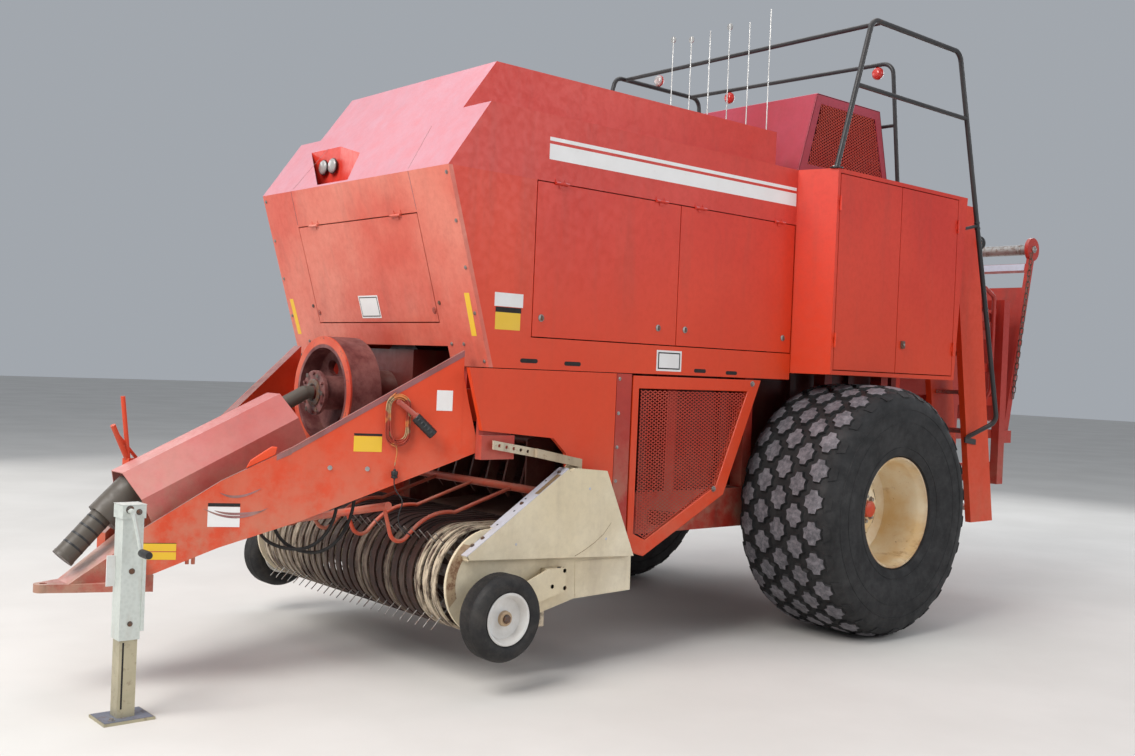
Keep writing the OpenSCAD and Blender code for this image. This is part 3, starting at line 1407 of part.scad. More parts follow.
wire_tail();
wire_plug();
wire_lead();
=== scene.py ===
import math
import random

import bmesh
import bpy
import numpy as np
from mathutils import Matrix, Vector
from mathutils.bvhtree import BVHTree


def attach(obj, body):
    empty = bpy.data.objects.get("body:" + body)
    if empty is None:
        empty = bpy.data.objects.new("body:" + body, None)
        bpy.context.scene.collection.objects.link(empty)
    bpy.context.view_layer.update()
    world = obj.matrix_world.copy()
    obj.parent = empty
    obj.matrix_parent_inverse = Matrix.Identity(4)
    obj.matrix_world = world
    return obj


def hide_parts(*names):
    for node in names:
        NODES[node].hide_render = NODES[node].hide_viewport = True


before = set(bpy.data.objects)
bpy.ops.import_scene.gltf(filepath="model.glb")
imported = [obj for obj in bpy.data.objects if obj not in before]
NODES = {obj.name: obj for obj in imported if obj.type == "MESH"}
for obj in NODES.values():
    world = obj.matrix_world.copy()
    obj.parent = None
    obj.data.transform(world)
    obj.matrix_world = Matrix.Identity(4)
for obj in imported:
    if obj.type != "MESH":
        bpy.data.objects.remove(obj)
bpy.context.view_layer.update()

rng = random.Random(7)

# Stations below are measured from the main axle; the frame's origin lies this far ahead of it
MID = 0.75021
SIDES = ((1, "left"), (-1, "right"))


def at(x, y, z):
    """A point given from the main axle, in the scene's frame."""
    return Vector((x - MID, y, z))


# ---- camera and lamps
def make_camera(place, angles, lens):
    """The photo's camera: place, yaw, pitch and roll in degrees, and focal length on a 36 mm frame."""
    yaw, pitch, roll = (math.radians(a) for a in angles)
    ahead = Vector((math.cos(pitch) * math.cos(yaw), math.cos(pitch) * math.sin(yaw), math.sin(pitch)))
    right = ahead.cross(Vector((0, 0, 1))).normalized()
    up = right.cross(ahead)
    data = bpy.data.cameras.new("camera")
    data.sensor_width = 36
    data.lens = lens
    cam = bpy.data.objects.new("camera", data)
    turn = Matrix((right * math.cos(roll) + up * math.sin(roll), up * math.cos(roll) - right * math.sin(roll), -ahead))
    world = turn.transposed().to_4x4()
    world.translation = at(*place)
    cam.matrix_world = world
    bpy.context.scene.collection.objects.link(cam)
    bpy.context.scene.camera = cam


make_camera(place=(6.371, 5.629, 1.581), angles=(-131.036, -0.44, 2.41), lens=37.78)


def area_light(name, place, size, power, colour):
    """A lamp that looks at the machine's middle."""
    data = bpy.data.lights.new(name, "AREA")
    data.shape = "RECTANGLE"
    data.size, data.size_y = size
    data.energy = power
    data.color = colour
    o = bpy.data.objects.new(name, data)
    o.location = place
    o.rotation_euler = (Vector((0.3, 0.0, 1.4)) - Vector(place)).to_track_quat("-Z", "Y").to_euler()
    bpy.context.scene.collection.objects.link(o)


# ---- materials
class Mat:
    """A procedural material: a Principled shader and short calls for the nodes that feed it."""

    def __init__(self, name, **sockets):
        self.m = bpy.data.materials.new(name)
        self.m.use_nodes = True
        self.t = self.m.node_tree
        self.t.nodes.clear()
        out = self.node("OutputMaterial")
        self.b = self.node("BsdfPrincipled", **sockets)
        self.put(out.inputs[0], self.b.outputs[0])
        self.coord = self.node("TexCoord").outputs["Object"]
        self.relief = None

    def put(self, socket, value):
        if isinstance(value, bpy.types.NodeSocket):
            self.t.links.new(value, socket)
        else:
            if isinstance(value, tuple) and len(value) == 3 and len(socket.default_value) == 4:
                value = (*value, 1)
            socket.default_value = value

    def node(self, kind, **sockets):
        n = self.t.nodes.new("ShaderNode" + kind)
        for k, v in sockets.items():
            self.put(n.inputs[k.replace("_", " ")], v)
        return n

    def pair(self, kind, op, a, b):
        """A Math or Vector Math node with its two values."""
        n = self.node(kind)
        n.operation = op
        self.put(n.inputs[0], a)
        self.put(n.inputs[1], b)
        return n

    def link(self, name, value):
        self.put(self.b.inputs[name], value)

    def scaled(self, x, y, z):
        return self.node("Mapping", Scale=(x, y, z), Vector=self.coord).outputs[0]

    def noise(self, scale, detail, rough=0.55, vector=None):
        return self.node("TexNoise", Scale=scale, Detail=detail, Roughness=rough, Distortion=0.0,
                         Vector=vector or self.coord).outputs["Fac"]

    def axis(self, name):
        return self.node("SeparateXYZ", Vector=self.coord).outputs[name]

    def up(self):
        """How far a face looks upward, from -1 to 1."""
        return self.node("SeparateXYZ", Vector=self.node("NewGeometry").outputs["Normal"]).outputs["Z"]

    def radius(self, place, keep=(1, 0, 1)):
        """Distance from a line through a place, along the axis that keep leaves out."""
        flat = self.pair("VectorMath", "MULTIPLY", self.coord, keep).outputs[0]
        return self.pair("VectorMath", "DISTANCE", flat, place).outputs["Value"]

    def chance(self, value):
        """A number from 0 to 1 for each whole number below value."""
        n = self.node("TexWhiteNoise")
        n.noise_dimensions = "1D"
        self.put(n.inputs["W"], self.math("FLOOR", value))
        return n.outputs["Value"]

    def span(self, value, low, high, to_low=0.0, to_high=1.0):
        """Leads value smoothly from one range to another."""
        n = self.node("MapRange", Value=value, From_Min=low, From_Max=high, To_Min=to_low, To_Max=to_high)
        n.interpolation_type = "SMOOTHSTEP"
        return n.outputs[0]

    def math(self, op, a, b=0.0):
        n = self.pair("Math", op, a, b)
        n.use_clamp = op in ("ADD", "MULTIPLY")
        return n.outputs[0]

    def mix(self, fac, a, b):
        """Colour a, and b over it by the factor fac."""
        n = self.node("Mix")
        n.data_type = "RGBA"
        for socket, value in ((0, fac), (6, a), (7, b)):
            self.put(n.inputs[socket], value)
        return n.outputs[2]

    def bump(self, height, strength, distance):
        """Adds a bump over those that are there."""
        n = self.node("Bump", Strength=strength, Distance=distance, Height=height)
        if self.relief:
            self.put(n.inputs["Normal"], self.relief)
        self.relief = n.outputs[0]
        self.link("Normal", self.relief)


DUST = (0.42, 0.33, 0.23)
RUST = (0.16, 0.055, 0.022)
# Painted orange bounce light from the ground: the body reds turn to this colour from 2.7 m down to 1.3 m.
GROUND_BOUNCE_TINT = (0.72, 0.062, 0.004)  # the red's turn to orange low down
# Painted sky sheen: a pale lavender on the upward slopes of the roof that stands in for the sky's reflection. The dust
# factor mixes it in.
SKY_SHEEN = dict(film=(0.52, 0.41, 0.50), even=0.8, tilt=(0.30, 0.60))  # pale film on the roof's slopes


def paint(name, deep, faded, dust, rust=0.0, rough=0.42, dirt=0.3, film=(0.52, 0.44, 0.38), bounce_tint=None,
          even=0.25, tilt=(0.1, 0.8)):
    """Old enamel: sun-faded in broad patches, streaked, dusty low down and where it faces up, chipped to rust. Some
    paints add a painted sky sheen in the film on upward faces, and painted orange bounce light low down.
    """
    m = Mat(name, Coat_Weight=0.12, Coat_Roughness=0.3, Specular_IOR_Level=0.4)
    colour = m.mix(m.span(m.noise(0.9, 5, 0.6), 0.35, 0.65), deep, faded)
    mottle = m.noise(26, 6, 0.7)
    colour = m.mix(m.span(mottle, 0.35, 0.75, 0.0, 0.22), colour, tuple(c * 0.62 for c in deep))
    streak = m.noise(1.0, 6, 0.65, m.scaled(7, 7, 0.8))
    colour = m.mix(m.span(streak, 0.48, 0.78, 0.0, dirt), colour, (0.11, 0.05, 0.035))
    height = m.axis("Z")
    # Painted bounce light: the red turns orange towards the bottom.
    if bounce_tint:
        colour = m.mix(m.span(height, 2.7, 1.3, 0, 0.6), colour, bounce_tint)
    ground = m.math("MULTIPLY", m.span(height, 1.5, 0.3), m.span(m.noise(5, 8, 0.7), 0.35, 0.62))
    colour = m.mix(m.math("MULTIPLY", ground, dust * 1.6), colour, DUST)
    # Faces that look up take the film colour. This is dust, and in the roof and shield paints it is also a painted sky
    # sheen.
    top = m.math("MULTIPLY", m.span(m.up(), *tilt), m.span(m.noise(9, 8, 0.7), 0.3, 0.7, even, 1.0))
    colour = m.mix(m.math("MULTIPLY", top, dust), colour, film)
    chips = m.span(m.noise(38, 8, 0.75), 0.70 - 0.14 * rust, 0.73 - 0.10 * rust)
    patches = m.span(m.noise(3.1, 8, 0.7), 0.72 - 0.25 * rust, 0.80 - 0.22 * rust)
    rusted = m.math("MAXIMUM", m.math("MULTIPLY", chips, 0.75), patches)
    colour = m.mix(m.math("MULTIPLY", rusted, 1.0 if rust else 0.35), colour, RUST)
    m.link("Base Color", colour)
    wear = m.math("ADD", m.span(mottle, 0.3, 0.7, rough - 0.1, rough + 0.1), m.math("MULTIPLY", rusted, 0.35))
    m.link("Roughness", m.math("ADD", wear, m.math("MULTIPLY", ground, 0.3)))
    m.bump(m.noise(1.7, 2, 0.4), 0.10, 0.02)
    m.bump(m.noise(210, 2, 0.5), 0.05, 0.001)
    m.bump(rusted, 0.35, 0.001)
    return m.m


def steel(name, base, rough, rust, metallic=0.85):
    """Bare steel, in light and dark patches, with spots of rust that aren't metallic."""
    m = Mat(name)
    spots = m.span(m.noise(30, 8, 0.7), 0.62 - 0.3 * rust, 0.72 - 0.2 * rust)
    colour = m.mix(m.span(m.noise(4, 6, 0.6), 0.3, 0.7), tuple(c * 0.75 for c in base), base)
    colour = m.mix(m.math("MULTIPLY", spots, min(1.0, rust * 1.6)), colour, (0.14, 0.065, 0.035))
    m.link("Base Color", colour)
    m.link("Metallic", m.span(spots, 0.0, 1.0, metallic, metallic * (1 - rust)))
    m.link("Roughness", m.span(m.noise(18, 6, 0.7), 0.3, 0.7, rough - 0.08, rough + 0.15))
    m.bump(spots, 0.3, 0.0008)
    m.bump(m.noise(260, 2, 0.5), 0.08, 0.0004)
    return m.m


def galvanised():
    """Zinc in crystals, with grey runs and a few stains."""
    m = Mat("galvanised")
    spangle = m.node("TexVoronoi", Scale=60, Vector=m.coord).outputs["Distance"]
    colour = m.mix(m.span(spangle, 0.1, 0.75), (0.60, 0.64, 0.60), (0.66, 0.70, 0.66))
    colour = m.mix(m.span(m.noise(5, 8, 0.7, m.scaled(3, 3, 0.6)), 0.50, 0.75, 0, 0.6), colour, (0.50, 0.47, 0.40))
    colour = m.mix(m.span(m.noise(30, 8, 0.75), 0.66, 0.70, 0, 0.5), colour, (0.25, 0.18, 0.12))
    m.link("Base Color", colour)
    m.link("Metallic", m.span(m.noise(6, 6), 0.3, 0.7, 0.55, 0.30))
    m.link("Roughness", m.span(spangle, 0.0, 0.8, 0.40, 0.52))
    m.bump(m.noise(90, 4, 0.6), 0.08, 0.0006)
    return m.m


def rubber(name, base, dusty, dust, scale=14.0):
    """Matt rubber with dust in spots and in scuffs that run round."""
    m = Mat(name, Specular_IOR_Level=0.35)
    film = m.span(m.noise(scale, 8, 0.72), 0.38, 0.68, 0, dust)
    scuff = m.span(m.noise(2.2, 6, 0.6, m.scaled(1, 1, 3)), 0.45, 0.75, 0, dust * 0.8)
    colour = m.mix(m.math("ADD", film, scuff), base, dusty)
    m.link("Base Color", colour)
    m.link("Roughness", m.span(m.noise(9, 5), 0.3, 0.7, 0.58, 0.8))
    m.bump(m.noise(160, 4, 0.6), 0.16, 0.0008)
    m.bump(m.noise(24, 4, 0.6), 0.1, 0.002)
    return m.m


def plastic(name, base, rough, grain=300.0, **sockets):
    """Moulded plastic or a lens, a little darker in patches."""
    m = Mat(name, **sockets)
    tint = m.span(m.noise(20, 5, 0.6), 0.35, 0.7, 0, 0.3)
    m.link("Base Color", m.mix(tint, base, tuple(c * 0.7 + 0.02 for c in base)))
    m.link("Roughness", m.span(m.noise(40, 4), 0.3, 0.7, rough - 0.06, rough + 0.12))
    m.bump(m.noise(grain, 2, 0.5), 0.06, 0.0004)
    return m.m


def bands():
    """Stripper bands: each its own share of worn cream paint, rust and polished steel, with painted shade darkening
    their tops, where they run in under the machine, except at the near end.
    """
    m = Mat("band_worn", Specular_IOR_Level=0.35)
    across = m.axis("Y")
    each = m.chance(m.math("DIVIDE", across, 0.07))
    ends = m.math("ADD", m.span(across, 0.68, 0.74), m.span(across, 0.1, -0.7, 0, 0.6))
    along = m.noise(7, 6, 0.7, m.scaled(1, 6, 1))
    cream = m.math("MULTIPLY", m.math("ADD", ends, m.span(each, 0.55, 0.95, 0, 0.35)), m.span(along, 0.62, 0.40))
    colour = m.mix(m.span(m.noise(22, 6, 0.7), 0.35, 0.68), (0.056, 0.026, 0.019), (0.030, 0.015, 0.013))
    colour = m.mix(cream, colour, (0.62, 0.52, 0.38))
    # Painted shade: the bands darken towards their tops, under the machine. The band at the near end is left out.
    high = m.math("MULTIPLY", m.span(m.axis("Z"), 0.66, 0.76), m.span(across, 0.70, 0.62))
    colour = m.mix(high, colour, (0.032, 0.019, 0.017))
    m.link("Base Color", colour)
    m.link("Roughness", m.span(along, 0.3, 0.7, 0.42, 0.72))
    m.bump(along, 0.25, 0.001)
    m.bump(m.noise(120, 5, 0.65), 0.2, 0.0006)
    return m.m


def rim_paint():
    """Cream wheel paint with rust at the lip, in the well and running down from the bolts."""
    m = Mat("paint_rim_rusty", Coat_Weight=0.1, Specular_IOR_Level=0.4)
    colour = m.mix(m.span(m.noise(2.4, 5, 0.6), 0.35, 0.65), (0.78, 0.55, 0.27), (0.90, 0.80, 0.60))
    lip = m.math("MULTIPLY", m.span(m.radius((-MID, 0, 0.78)), 0.322, 0.345), m.span(m.noise(6, 6, 0.7), 0.3, 0.6))
    runs = m.span(m.noise(3.2, 8, 0.72, m.scaled(2.4, 1, 1)), 0.55, 0.70, 0, 0.55)
    specks = m.span(m.noise(34, 8, 0.75), 0.64, 0.68)
    rusty = m.math("ADD", m.math("MULTIPLY", lip, 0.85), m.math("MAXIMUM", runs, specks))
    colour = m.mix(rusty, colour, (0.33, 0.15, 0.06))
    m.link("Base Color", colour)
    m.link("Roughness", m.span(rusty, 0.0, 1.0, 0.38, 0.8))
    m.bump(rusty, 0.25, 0.0008)
    m.bump(m.noise(200, 2, 0.5), 0.05, 0.0005)
    return m.m


def flywheel_paint():
    """Red lip at the front, dark dusty rim outside, dark clutch."""
    m = Mat("paint_flywheel", Specular_IOR_Level=0.4)
    red = m.mix(m.span(m.noise(5, 5), 0.35, 0.65), (0.50, 0.045, 0.02), (0.62, 0.12, 0.06))
    dark = m.mix(m.span(m.noise(6, 7, 0.7), 0.35, 0.65), (0.10, 0.022, 0.022), (0.24, 0.10, 0.09))
    lip = m.span(m.radius((0, 0, 1.4), (0, 1, 1)), 0.255, 0.262)
    front = m.math("MULTIPLY", m.math("MULTIPLY", m.span(m.axis("X"), 3.186 - MID, 3.194 - MID), lip),
                   m.span(m.noise(30, 6), 0.25, 0.4))
    colour = m.mix(front, dark, red)
    colour = m.mix(m.span(m.noise(24, 8, 0.75), 0.60, 0.68, 0, 0.7), colour, RUST)
    m.link("Base Color", colour)
    m.link("Roughness", m.span(m.noise(20, 5), 0.3, 0.7, 0.4, 0.65))
    m.bump(m.noise(80, 5, 0.6), 0.15, 0.001)
    return m.m


def wire():
    """Several thin wires in one hank: tan, rust-red and orange by stretches."""
    m = Mat("wire_mixed", Specular_IOR_Level=0.3)
    colour = m.mix(m.span(m.noise(13, 1, 0.4), 0.42, 0.48), (0.42, 0.28, 0.15), (0.40, 0.05, 0.03))
    colour = m.mix(m.span(m.noise(17, 1, 0.4, m.scaled(1, 1.3, 0.9)), 0.55, 0.60), colour, (0.62, 0.22, 0.07))
    m.link("Base Color", m.mix(m.span(m.noise(60, 4), 0.4, 0.7, 0, 0.35), colour, (0.12, 0.07, 0.05)))
    m.link("Roughness", m.span(m.noise(40, 4), 0.3, 0.7, 0.4, 0.6))
    m.bump(m.noise(300, 2, 0.5), 0.08, 0.0004)
    return m.m


def sticker(name, base, worn, wear):
    """A bare decal, yellowed in patches and lost in spots where the paint shows."""
    m = Mat(name, Specular_IOR_Level=0.45)
    lost = m.span(m.noise(36, 8, 0.75), 0.66 - 0.2 * wear, 0.70)
    colour = m.mix(m.span(m.noise(8, 5), 0.3, 0.75, 0, 0.35), base, worn)
    m.link("Base Color", m.mix(m.math("MULTIPLY", lost, wear * 2), colour, (0.34, 0.06, 0.045)))
    m.link("Roughness", m.span(m.noise(12, 4), 0.3, 0.7, 0.35, 0.6))
    m.bump(lost, 0.3, 0.0003)
    return m.m


MATS = {
    "body": paint("paint_body", (0.64, 0.030, 0.009), (0.72, 0.052, 0.018), dust=0.12, dirt=0.2, bounce_tint=GROUND_BOUNCE_TINT),
    "hood": paint("paint_hood", (0.62, 0.034, 0.018), (0.68, 0.060, 0.040), dust=0.62, dirt=0.16, **SKY_SHEEN),
    # Painted shade: the fan housing's red is a darker, purpler copy of the hood's, as if in shade under the sky. It
    # also carries the painted sky sheen.
    "fan": paint("paint_shaded_fan", (0.36, 0.026, 0.040), (0.42, 0.050, 0.080), dust=0.45, dirt=0.2, **SKY_SHEEN),
    # The nose's paler, pinker red is sun fading and also painted sunlight on the front.
    "front": paint("paint_sunlit_faded_front", (0.62, 0.085, 0.050), (0.72, 0.220, 0.155), dust=0.2, dirt=0.2),
    "door": paint("paint_door", (0.63, 0.026, 0.010), (0.71, 0.044, 0.018), dust=0.1, dirt=0.18, bounce_tint=GROUND_BOUNCE_TINT),
    "box": paint("paint_box", (0.60, 0.025, 0.010), (0.68, 0.042, 0.017), dust=0.1, dirt=0.18, bounce_tint=GROUND_BOUNCE_TINT),
    # The pale pink film on the shield's top is dust and a painted sky sheen.
    "shield": paint("paint_shield", (0.50, 0.078, 0.060), (0.58, 0.160, 0.140), dust=0.42, dirt=0.25,
                    film=(0.55, 0.31, 0.31), even=0.7),
    "tongue": paint("paint_tongue", (0.53, 0.045, 0.026), (0.61, 0.085, 0.055), dust=0.35, dirt=0.35, rust=0.12,
                    bounce_tint=GROUND_BOUNCE_TINT),
    "frame": paint("paint_frame", (0.40, 0.022, 0.013), (0.50, 0.045, 0.027), dust=0.45, dirt=0.5, rust=0.1),
    "inner": paint("paint_inner", (0.085, 0.010, 0.008), (0.15, 0.019, 0.013), dust=0.25, dirt=0.8, rust=0.25),
    "rails_red": paint("paint_rails", (0.42, 0.024, 0.014), (0.52, 0.05, 0.03), dust=0.3, dirt=0.45, rust=0.15),
    "cream": paint("paint_cream", (0.74, 0.63, 0.43), (0.84, 0.75, 0.57), dust=0.15, dirt=0.22, rust=0.08),
    "cream_worn": paint("paint_cream_worn", (0.42, 0.33, 0.22), (0.62, 0.54, 0.41), dust=0.3, dirt=0.7, rust=0.75,
                        rough=0.5),
    "white": paint("paint_white", (0.74, 0.74, 0.72), (0.80, 0.80, 0.79), dust=0.15, dirt=0.2, rust=0.05),
    # Bluish white: a painted sky sheen on the upward faces of the pickup's cream flange strip, and the chute's plates.
    "pale_blue_and_sky_sheen": paint("paint_bluish_white_and_sky_sheen", (0.50, 0.52, 0.62), (0.62, 0.64, 0.72), dust=0.25, dirt=0.3, rust=0.1),
    "flange": paint("paint_worn_top", (0.22, 0.07, 0.07), (0.36, 0.16, 0.17), dust=0.3, dirt=0.6, rust=0.3),
    "black": paint("paint_black", (0.018, 0.018, 0.020), (0.035, 0.034, 0.035), dust=0.12, dirt=0.1, rust=0.1),
    "hitch": paint("paint_hitch", (0.36, 0.05, 0.035), (0.45, 0.10, 0.07), dust=0.4, dirt=0.6, rust=0.55),
    "steel": steel("steel_worn", (0.42, 0.40, 0.38), 0.42, 0.45),
    "bright": steel("steel_bright", (0.58, 0.57, 0.55), 0.32, 0.15),
    "dark_steel": steel("steel_dark", (0.16, 0.14, 0.13), 0.5, 0.7, 0.6),
    "zinc": galvanised(),
    "tyre": rubber("rubber_tyre", (0.012, 0.012, 0.013), (0.062, 0.060, 0.060), 0.28),
    "tread": rubber("rubber_tread", (0.085, 0.082, 0.092), (0.24, 0.225, 0.245), 0.8, 30.0),
    "gauge": rubber("rubber_gauge", (0.016, 0.016, 0.017), (0.07, 0.062, 0.055), 0.4),
    "hose": rubber("rubber_hose", (0.012, 0.012, 0.012), (0.05, 0.045, 0.04), 0.3, 40),
    "drive": plastic("plastic_guard", (0.085, 0.070, 0.055), 0.5, 120.0),
    "black_plastic": plastic("plastic_black", (0.015, 0.015, 0.016), 0.38),
    "amber": plastic("lens_amber", (0.80, 0.25, 0.02), 0.22, 90.0, Transmission_Weight=0.25, Coat_Weight=0.5),
    "red_lens": plastic("lens_red", (0.60, 0.02, 0.01), 0.22, 90.0, Transmission_Weight=0.2, Coat_Weight=0.5),
    "clear_lens": plastic("lens_clear", (0.72, 0.72, 0.70), 0.12, 60.0, Transmission_Weight=0.5, Coat_Weight=0.6),
    "orange": plastic("plastic_orange", (0.75, 0.07, 0.015), 0.4),
    "stripe": sticker("stripe_white", (0.84, 0.83, 0.82), (0.74, 0.71, 0.69), 0.12),
    "plate": sticker("plate_white", (0.78, 0.77, 0.76), (0.66, 0.62, 0.60), 0.1),
    "yellow": sticker("plate_yellow", (0.80, 0.50, 0.03), (0.70, 0.42, 0.06), 0.15),
    # Flat dark: print on plates and decals, and painted shade where it fills holes and slots.
    "dark": plastic("dark_print_and_painted_shade", (0.012, 0.010, 0.010), 0.8),
    "wire": wire(),
    "bands": bands(),
    "rim": rim_paint(),
    "flywheel": flywheel_paint(),
    "gold": steel("steel_yellow_zinc", (0.52, 0.47, 0.33), 0.42, 0.25, 0.6),
    "foot": steel("steel_foot", (0.22, 0.24, 0.30), 0.5, 0.35, 0.5),
    "brown": paint("paint_patch", (0.20, 0.12, 0.05), (0.30, 0.19, 0.09), dust=0.1, rust=0.3),
    "rusted": paint("paint_rusted", (0.42, 0.26, 0.14), (0.56, 0.42, 0.26), dust=0.2, dirt=0.6, rust=0.9),
    "net": paint("paint_net", (0.62, 0.05, 0.025), (0.70, 0.10, 0.06), dust=0.1, dirt=0.3, rust=0.1),
}


# The look of each node; a name that ends in _ stands for all nodes that start with it
LOOKS = {
    "chassis": "frame", "bale_chamber": "inner", "rear_rails": "rails_red", "gearbox": "inner",
    "hood": "hood", "nose_panel": "front", "front_door": "front", "side_panel_": "body", "side_door_": "door",
    "lower_panel_": "body", "mesh_guard_": "body", "twine_box_": "box", "twine_door_": "box",
    "deck": "frame", "fan_housing": "body", "platform_rails": "black", "ladder": "body", "flag_rods": "bright",
    "lamps": "amber", "tongue_": "tongue", "hitch": "hitch", "drive_shield": "shield", "drive_guard": "drive",
    "hose_stand": "tongue", "jack_": "zinc", "jack_leg": "gold", "flywheel": "flywheel", "feeder": "inner",
    "lift_link": "cream_worn", "pickup_frame": "cream", "stripper_bands": "bands", "windguard": "tongue",
    "pickup_reel": "steel", "gauge_wheel_": "gauge", "main_tyre_": "tyre", "main_rim_": "rim", "chute": "rails_red",
    "chute_chains": "dark_steel", "control_lever": "hitch", "hose_front": "hose", "hose_rear": "hose",
    "wire_hank": "wire", "wire_tail": "wire", "wire_plug": "black_plastic", "wire_lead": "black_plastic",
}
for name, o in NODES.items():
    look = max((k for k in LOOKS if name == k or (k.endswith("_") and name.startswith(k))), key=len)
    o.data.materials.clear()
    o.data.materials.append(MATS[LOOKS[look]])


# ---- shapes
def circle(n, shift=0):
    """Angles of n points round a circle, shifted by a share of a step."""
    return [2 * math.pi * (k + shift) / n for k in range(n)]


class Shape:
    """Vertices and faces gathered from simple forms, each with the index of its material."""

    def __init__(self):
        self.v, self.f, self.m = [], [], []

    def put(self, verts, faces, mat=0):
        base = len(self.v)
        self.v += [Vector(p) for p in verts]
        self.f += [tuple(base + i for i in f) for f in faces]
        self.m += mat if isinstance(mat, list) else [mat] * len(faces)

    def rings(self, rings, mat=0, closed=False, caps=False):
        """Rings of as many points each, joined by quads in a row, and the last to the first where closed."""
        count, n = len(rings), len(rings[0])
        faces = [(i * n + k, i * n + (k + 1) % n, (i + 1) % count * n + (k + 1) % n, (i + 1) % count * n + k)
                 for i in range(count if closed else count - 1) for k in range(n)]
        if caps:
            faces += [tuple(reversed(range(n))), tuple((count - 1) * n + k for k in range(n))]
        self.put([p for ring in rings for p in ring], faces, mat)

    def slab(self, front, back, mat=0):
        """A thin solid between two outlines that face each other."""
        n = len(front)
        self.put(front + back, [tuple(range(n)), tuple(reversed(range(n, 2 * n)))]
                 + [(i, n + i, n + (i + 1) % n, (i + 1) % n) for i in range(n)], mat)

    def prism(self, outline, depth, origin, u, v, mat=0):
        """An outline in the directions u and v from origin, made solid along u x v by depth."""
        u, v = Vector(u).normalized(), Vector(v).normalized()
        w = u.cross(v) * depth
        low = [Vector(origin) + u * a + v * b for a, b in outline]
        n = len(outline)
        self.put(low + [p + w for p in low],
                 [tuple(reversed(range(n))), tuple(range(n, 2 * n))]
                 + [(i, (i + 1) % n, n + (i + 1) % n, n + i) for i in range(n)], mat)

    def box(self, low, high, mat=0):
        (x0, y0, z0), (x1, y1, z1) = low, high
        self.prism([(0, 0), (x1 - x0, 0), (x1 - x0, y1 - y0), (0, y1 - y0)], z1 - z0, low, (1, 0, 0), (0, 1, 0), mat)

    def lathe(self, profile, centre, axis, n, mat=0):
        """Turns (radius, along) points about an axis through centre."""
        axis = Vector(axis).normalized()
        side = axis.orthogonal().normalized()
        other = axis.cross(side)
        self.rings([[Vector(centre) + axis * a + (side * math.cos(t) + other * math.sin(t)) * r for t in circle(n)]
                    for r, a in profile], mat)

    def collar(self, low, high, foot, top, centre, axis, n):
        """A raised ring round a tube: its radii, and its half widths at foot and top."""
        self.lathe([(low, -foot), (high, -top), (high, top), (low, foot)], centre, axis, n)

    def loop(self, points, radius, normal):
        """A closed round ring through points in a plane."""
        rings = []
        for i, p in enumerate(points):
            other = (points[(i + 1) % len(points)] - points[i - 1]).normalized().cross(normal)
            rings.append([p + (normal * math.cos(a) + other * math.sin(a)) * radius for a in circle(6)])
        self.rings(rings, closed=True)

    def tube(self, points, radii, n):
        """A closed round tube through the points, with a radius at each."""
        last = len(points) - 1
        side = (points[1] - points[0]).normalized().orthogonal().normalized()
        rings = []
        for i, p in enumerate(points):
            t = (points[min(i + 1, last)] - points[max(i - 1, 0)]).normalized()
            side = (side - t * side.dot(t)).normalized()
            other = t.cross(side)
            rings.append([p + (side * math.cos(a) + other * math.sin(a)) * radii[i] for a in circle(n)])
        self.rings(rings, caps=True)

    def bolt(self, place, out, r, h, mat=0):
        """A hexagon head on its washer, standing on place and facing out."""
        out = Vector(out).normalized()
        side = out.orthogonal().normalized()
        turn = rng.random()
        self.lathe([(r * 1.45, 0), (r * 1.45, 0.002), (r * 0.9, 0.0026)], place, out, 14, mat)
        head = [(r * math.cos(a), r * math.sin(a)) for a in (turn + math.pi * k / 3 for k in range(6))]
        self.prism(head, h, Vector(place) + out * 0.001, side, out.cross(side), mat)

    def done(self, name, mats, body, smooth=0.0):
        """The mesh piece with its materials, riding on a body. Edges under the smooth angle are shaded round."""
        mesh = bpy.data.meshes.new(name)
        mesh.from_pydata([tuple(v) for v in self.v], [], self.f)
        for k in mats:
            mesh.materials.append(MATS[k])
        mesh.polygons.foreach_set("material_index", self.m)
        o = bpy.data.objects.new(name, mesh)
        bpy.context.scene.collection.objects.link(o)
        bm = bmesh.new()
        bm.from_mesh(mesh)
        bmesh.ops.recalc_face_normals(bm, faces=bm.faces)
        if smooth:
            for f in bm.faces:
                f.smooth = True
            for e in bm.edges:
                e.smooth = e.calc_face_angle(0) < math.radians(smooth)
        bm.to_mesh(mesh)
        bm.free()
        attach(o, body)
        return o


TREES = {}  # search trees of the CAD nodes that pieces are seated on


def seat(node, start, way):
    """Where a ray meets a CAD node: the point, and the face's direction towards the ray's start."""
    if node not in TREES:
        mesh = NODES[node].data
        TREES[node] = BVHTree.FromPolygons([v.co for v in mesh.vertices], [f.vertices[:] for f in mesh.polygons])
    way = Vector(way).normalized()
    place, normal = TREES[node].ray_cast(Vector(start), way)[:2]
    return place, normal if normal.dot(way) < 0 else -normal


def bolt_row(shape, node, starts, way, r, h):
    for start in starts:
        place, out = seat(node, start, way)
        shape.bolt(place, out, r, h)


def inside(p, outline):
    """Whether a point lies in an outline, by how often a line from it crosses the edges."""
    x, y = p
    odd = False
    for (x0, y0), (x1, y1) in zip(outline, outline[1:] + outline[:1]):
        if (y0 > y) != (y1 > y) and x < (x1 - x0) * (y - y0) / (y1 - y0) + x0:
            odd = not odd
    return odd


MESH_X, MESH_Z = 0.038, 0.010  # a diamond's length and half height
MESH_WIDE, MESH_THICK = 0.0046, 0.0020  # the strands of the mesh


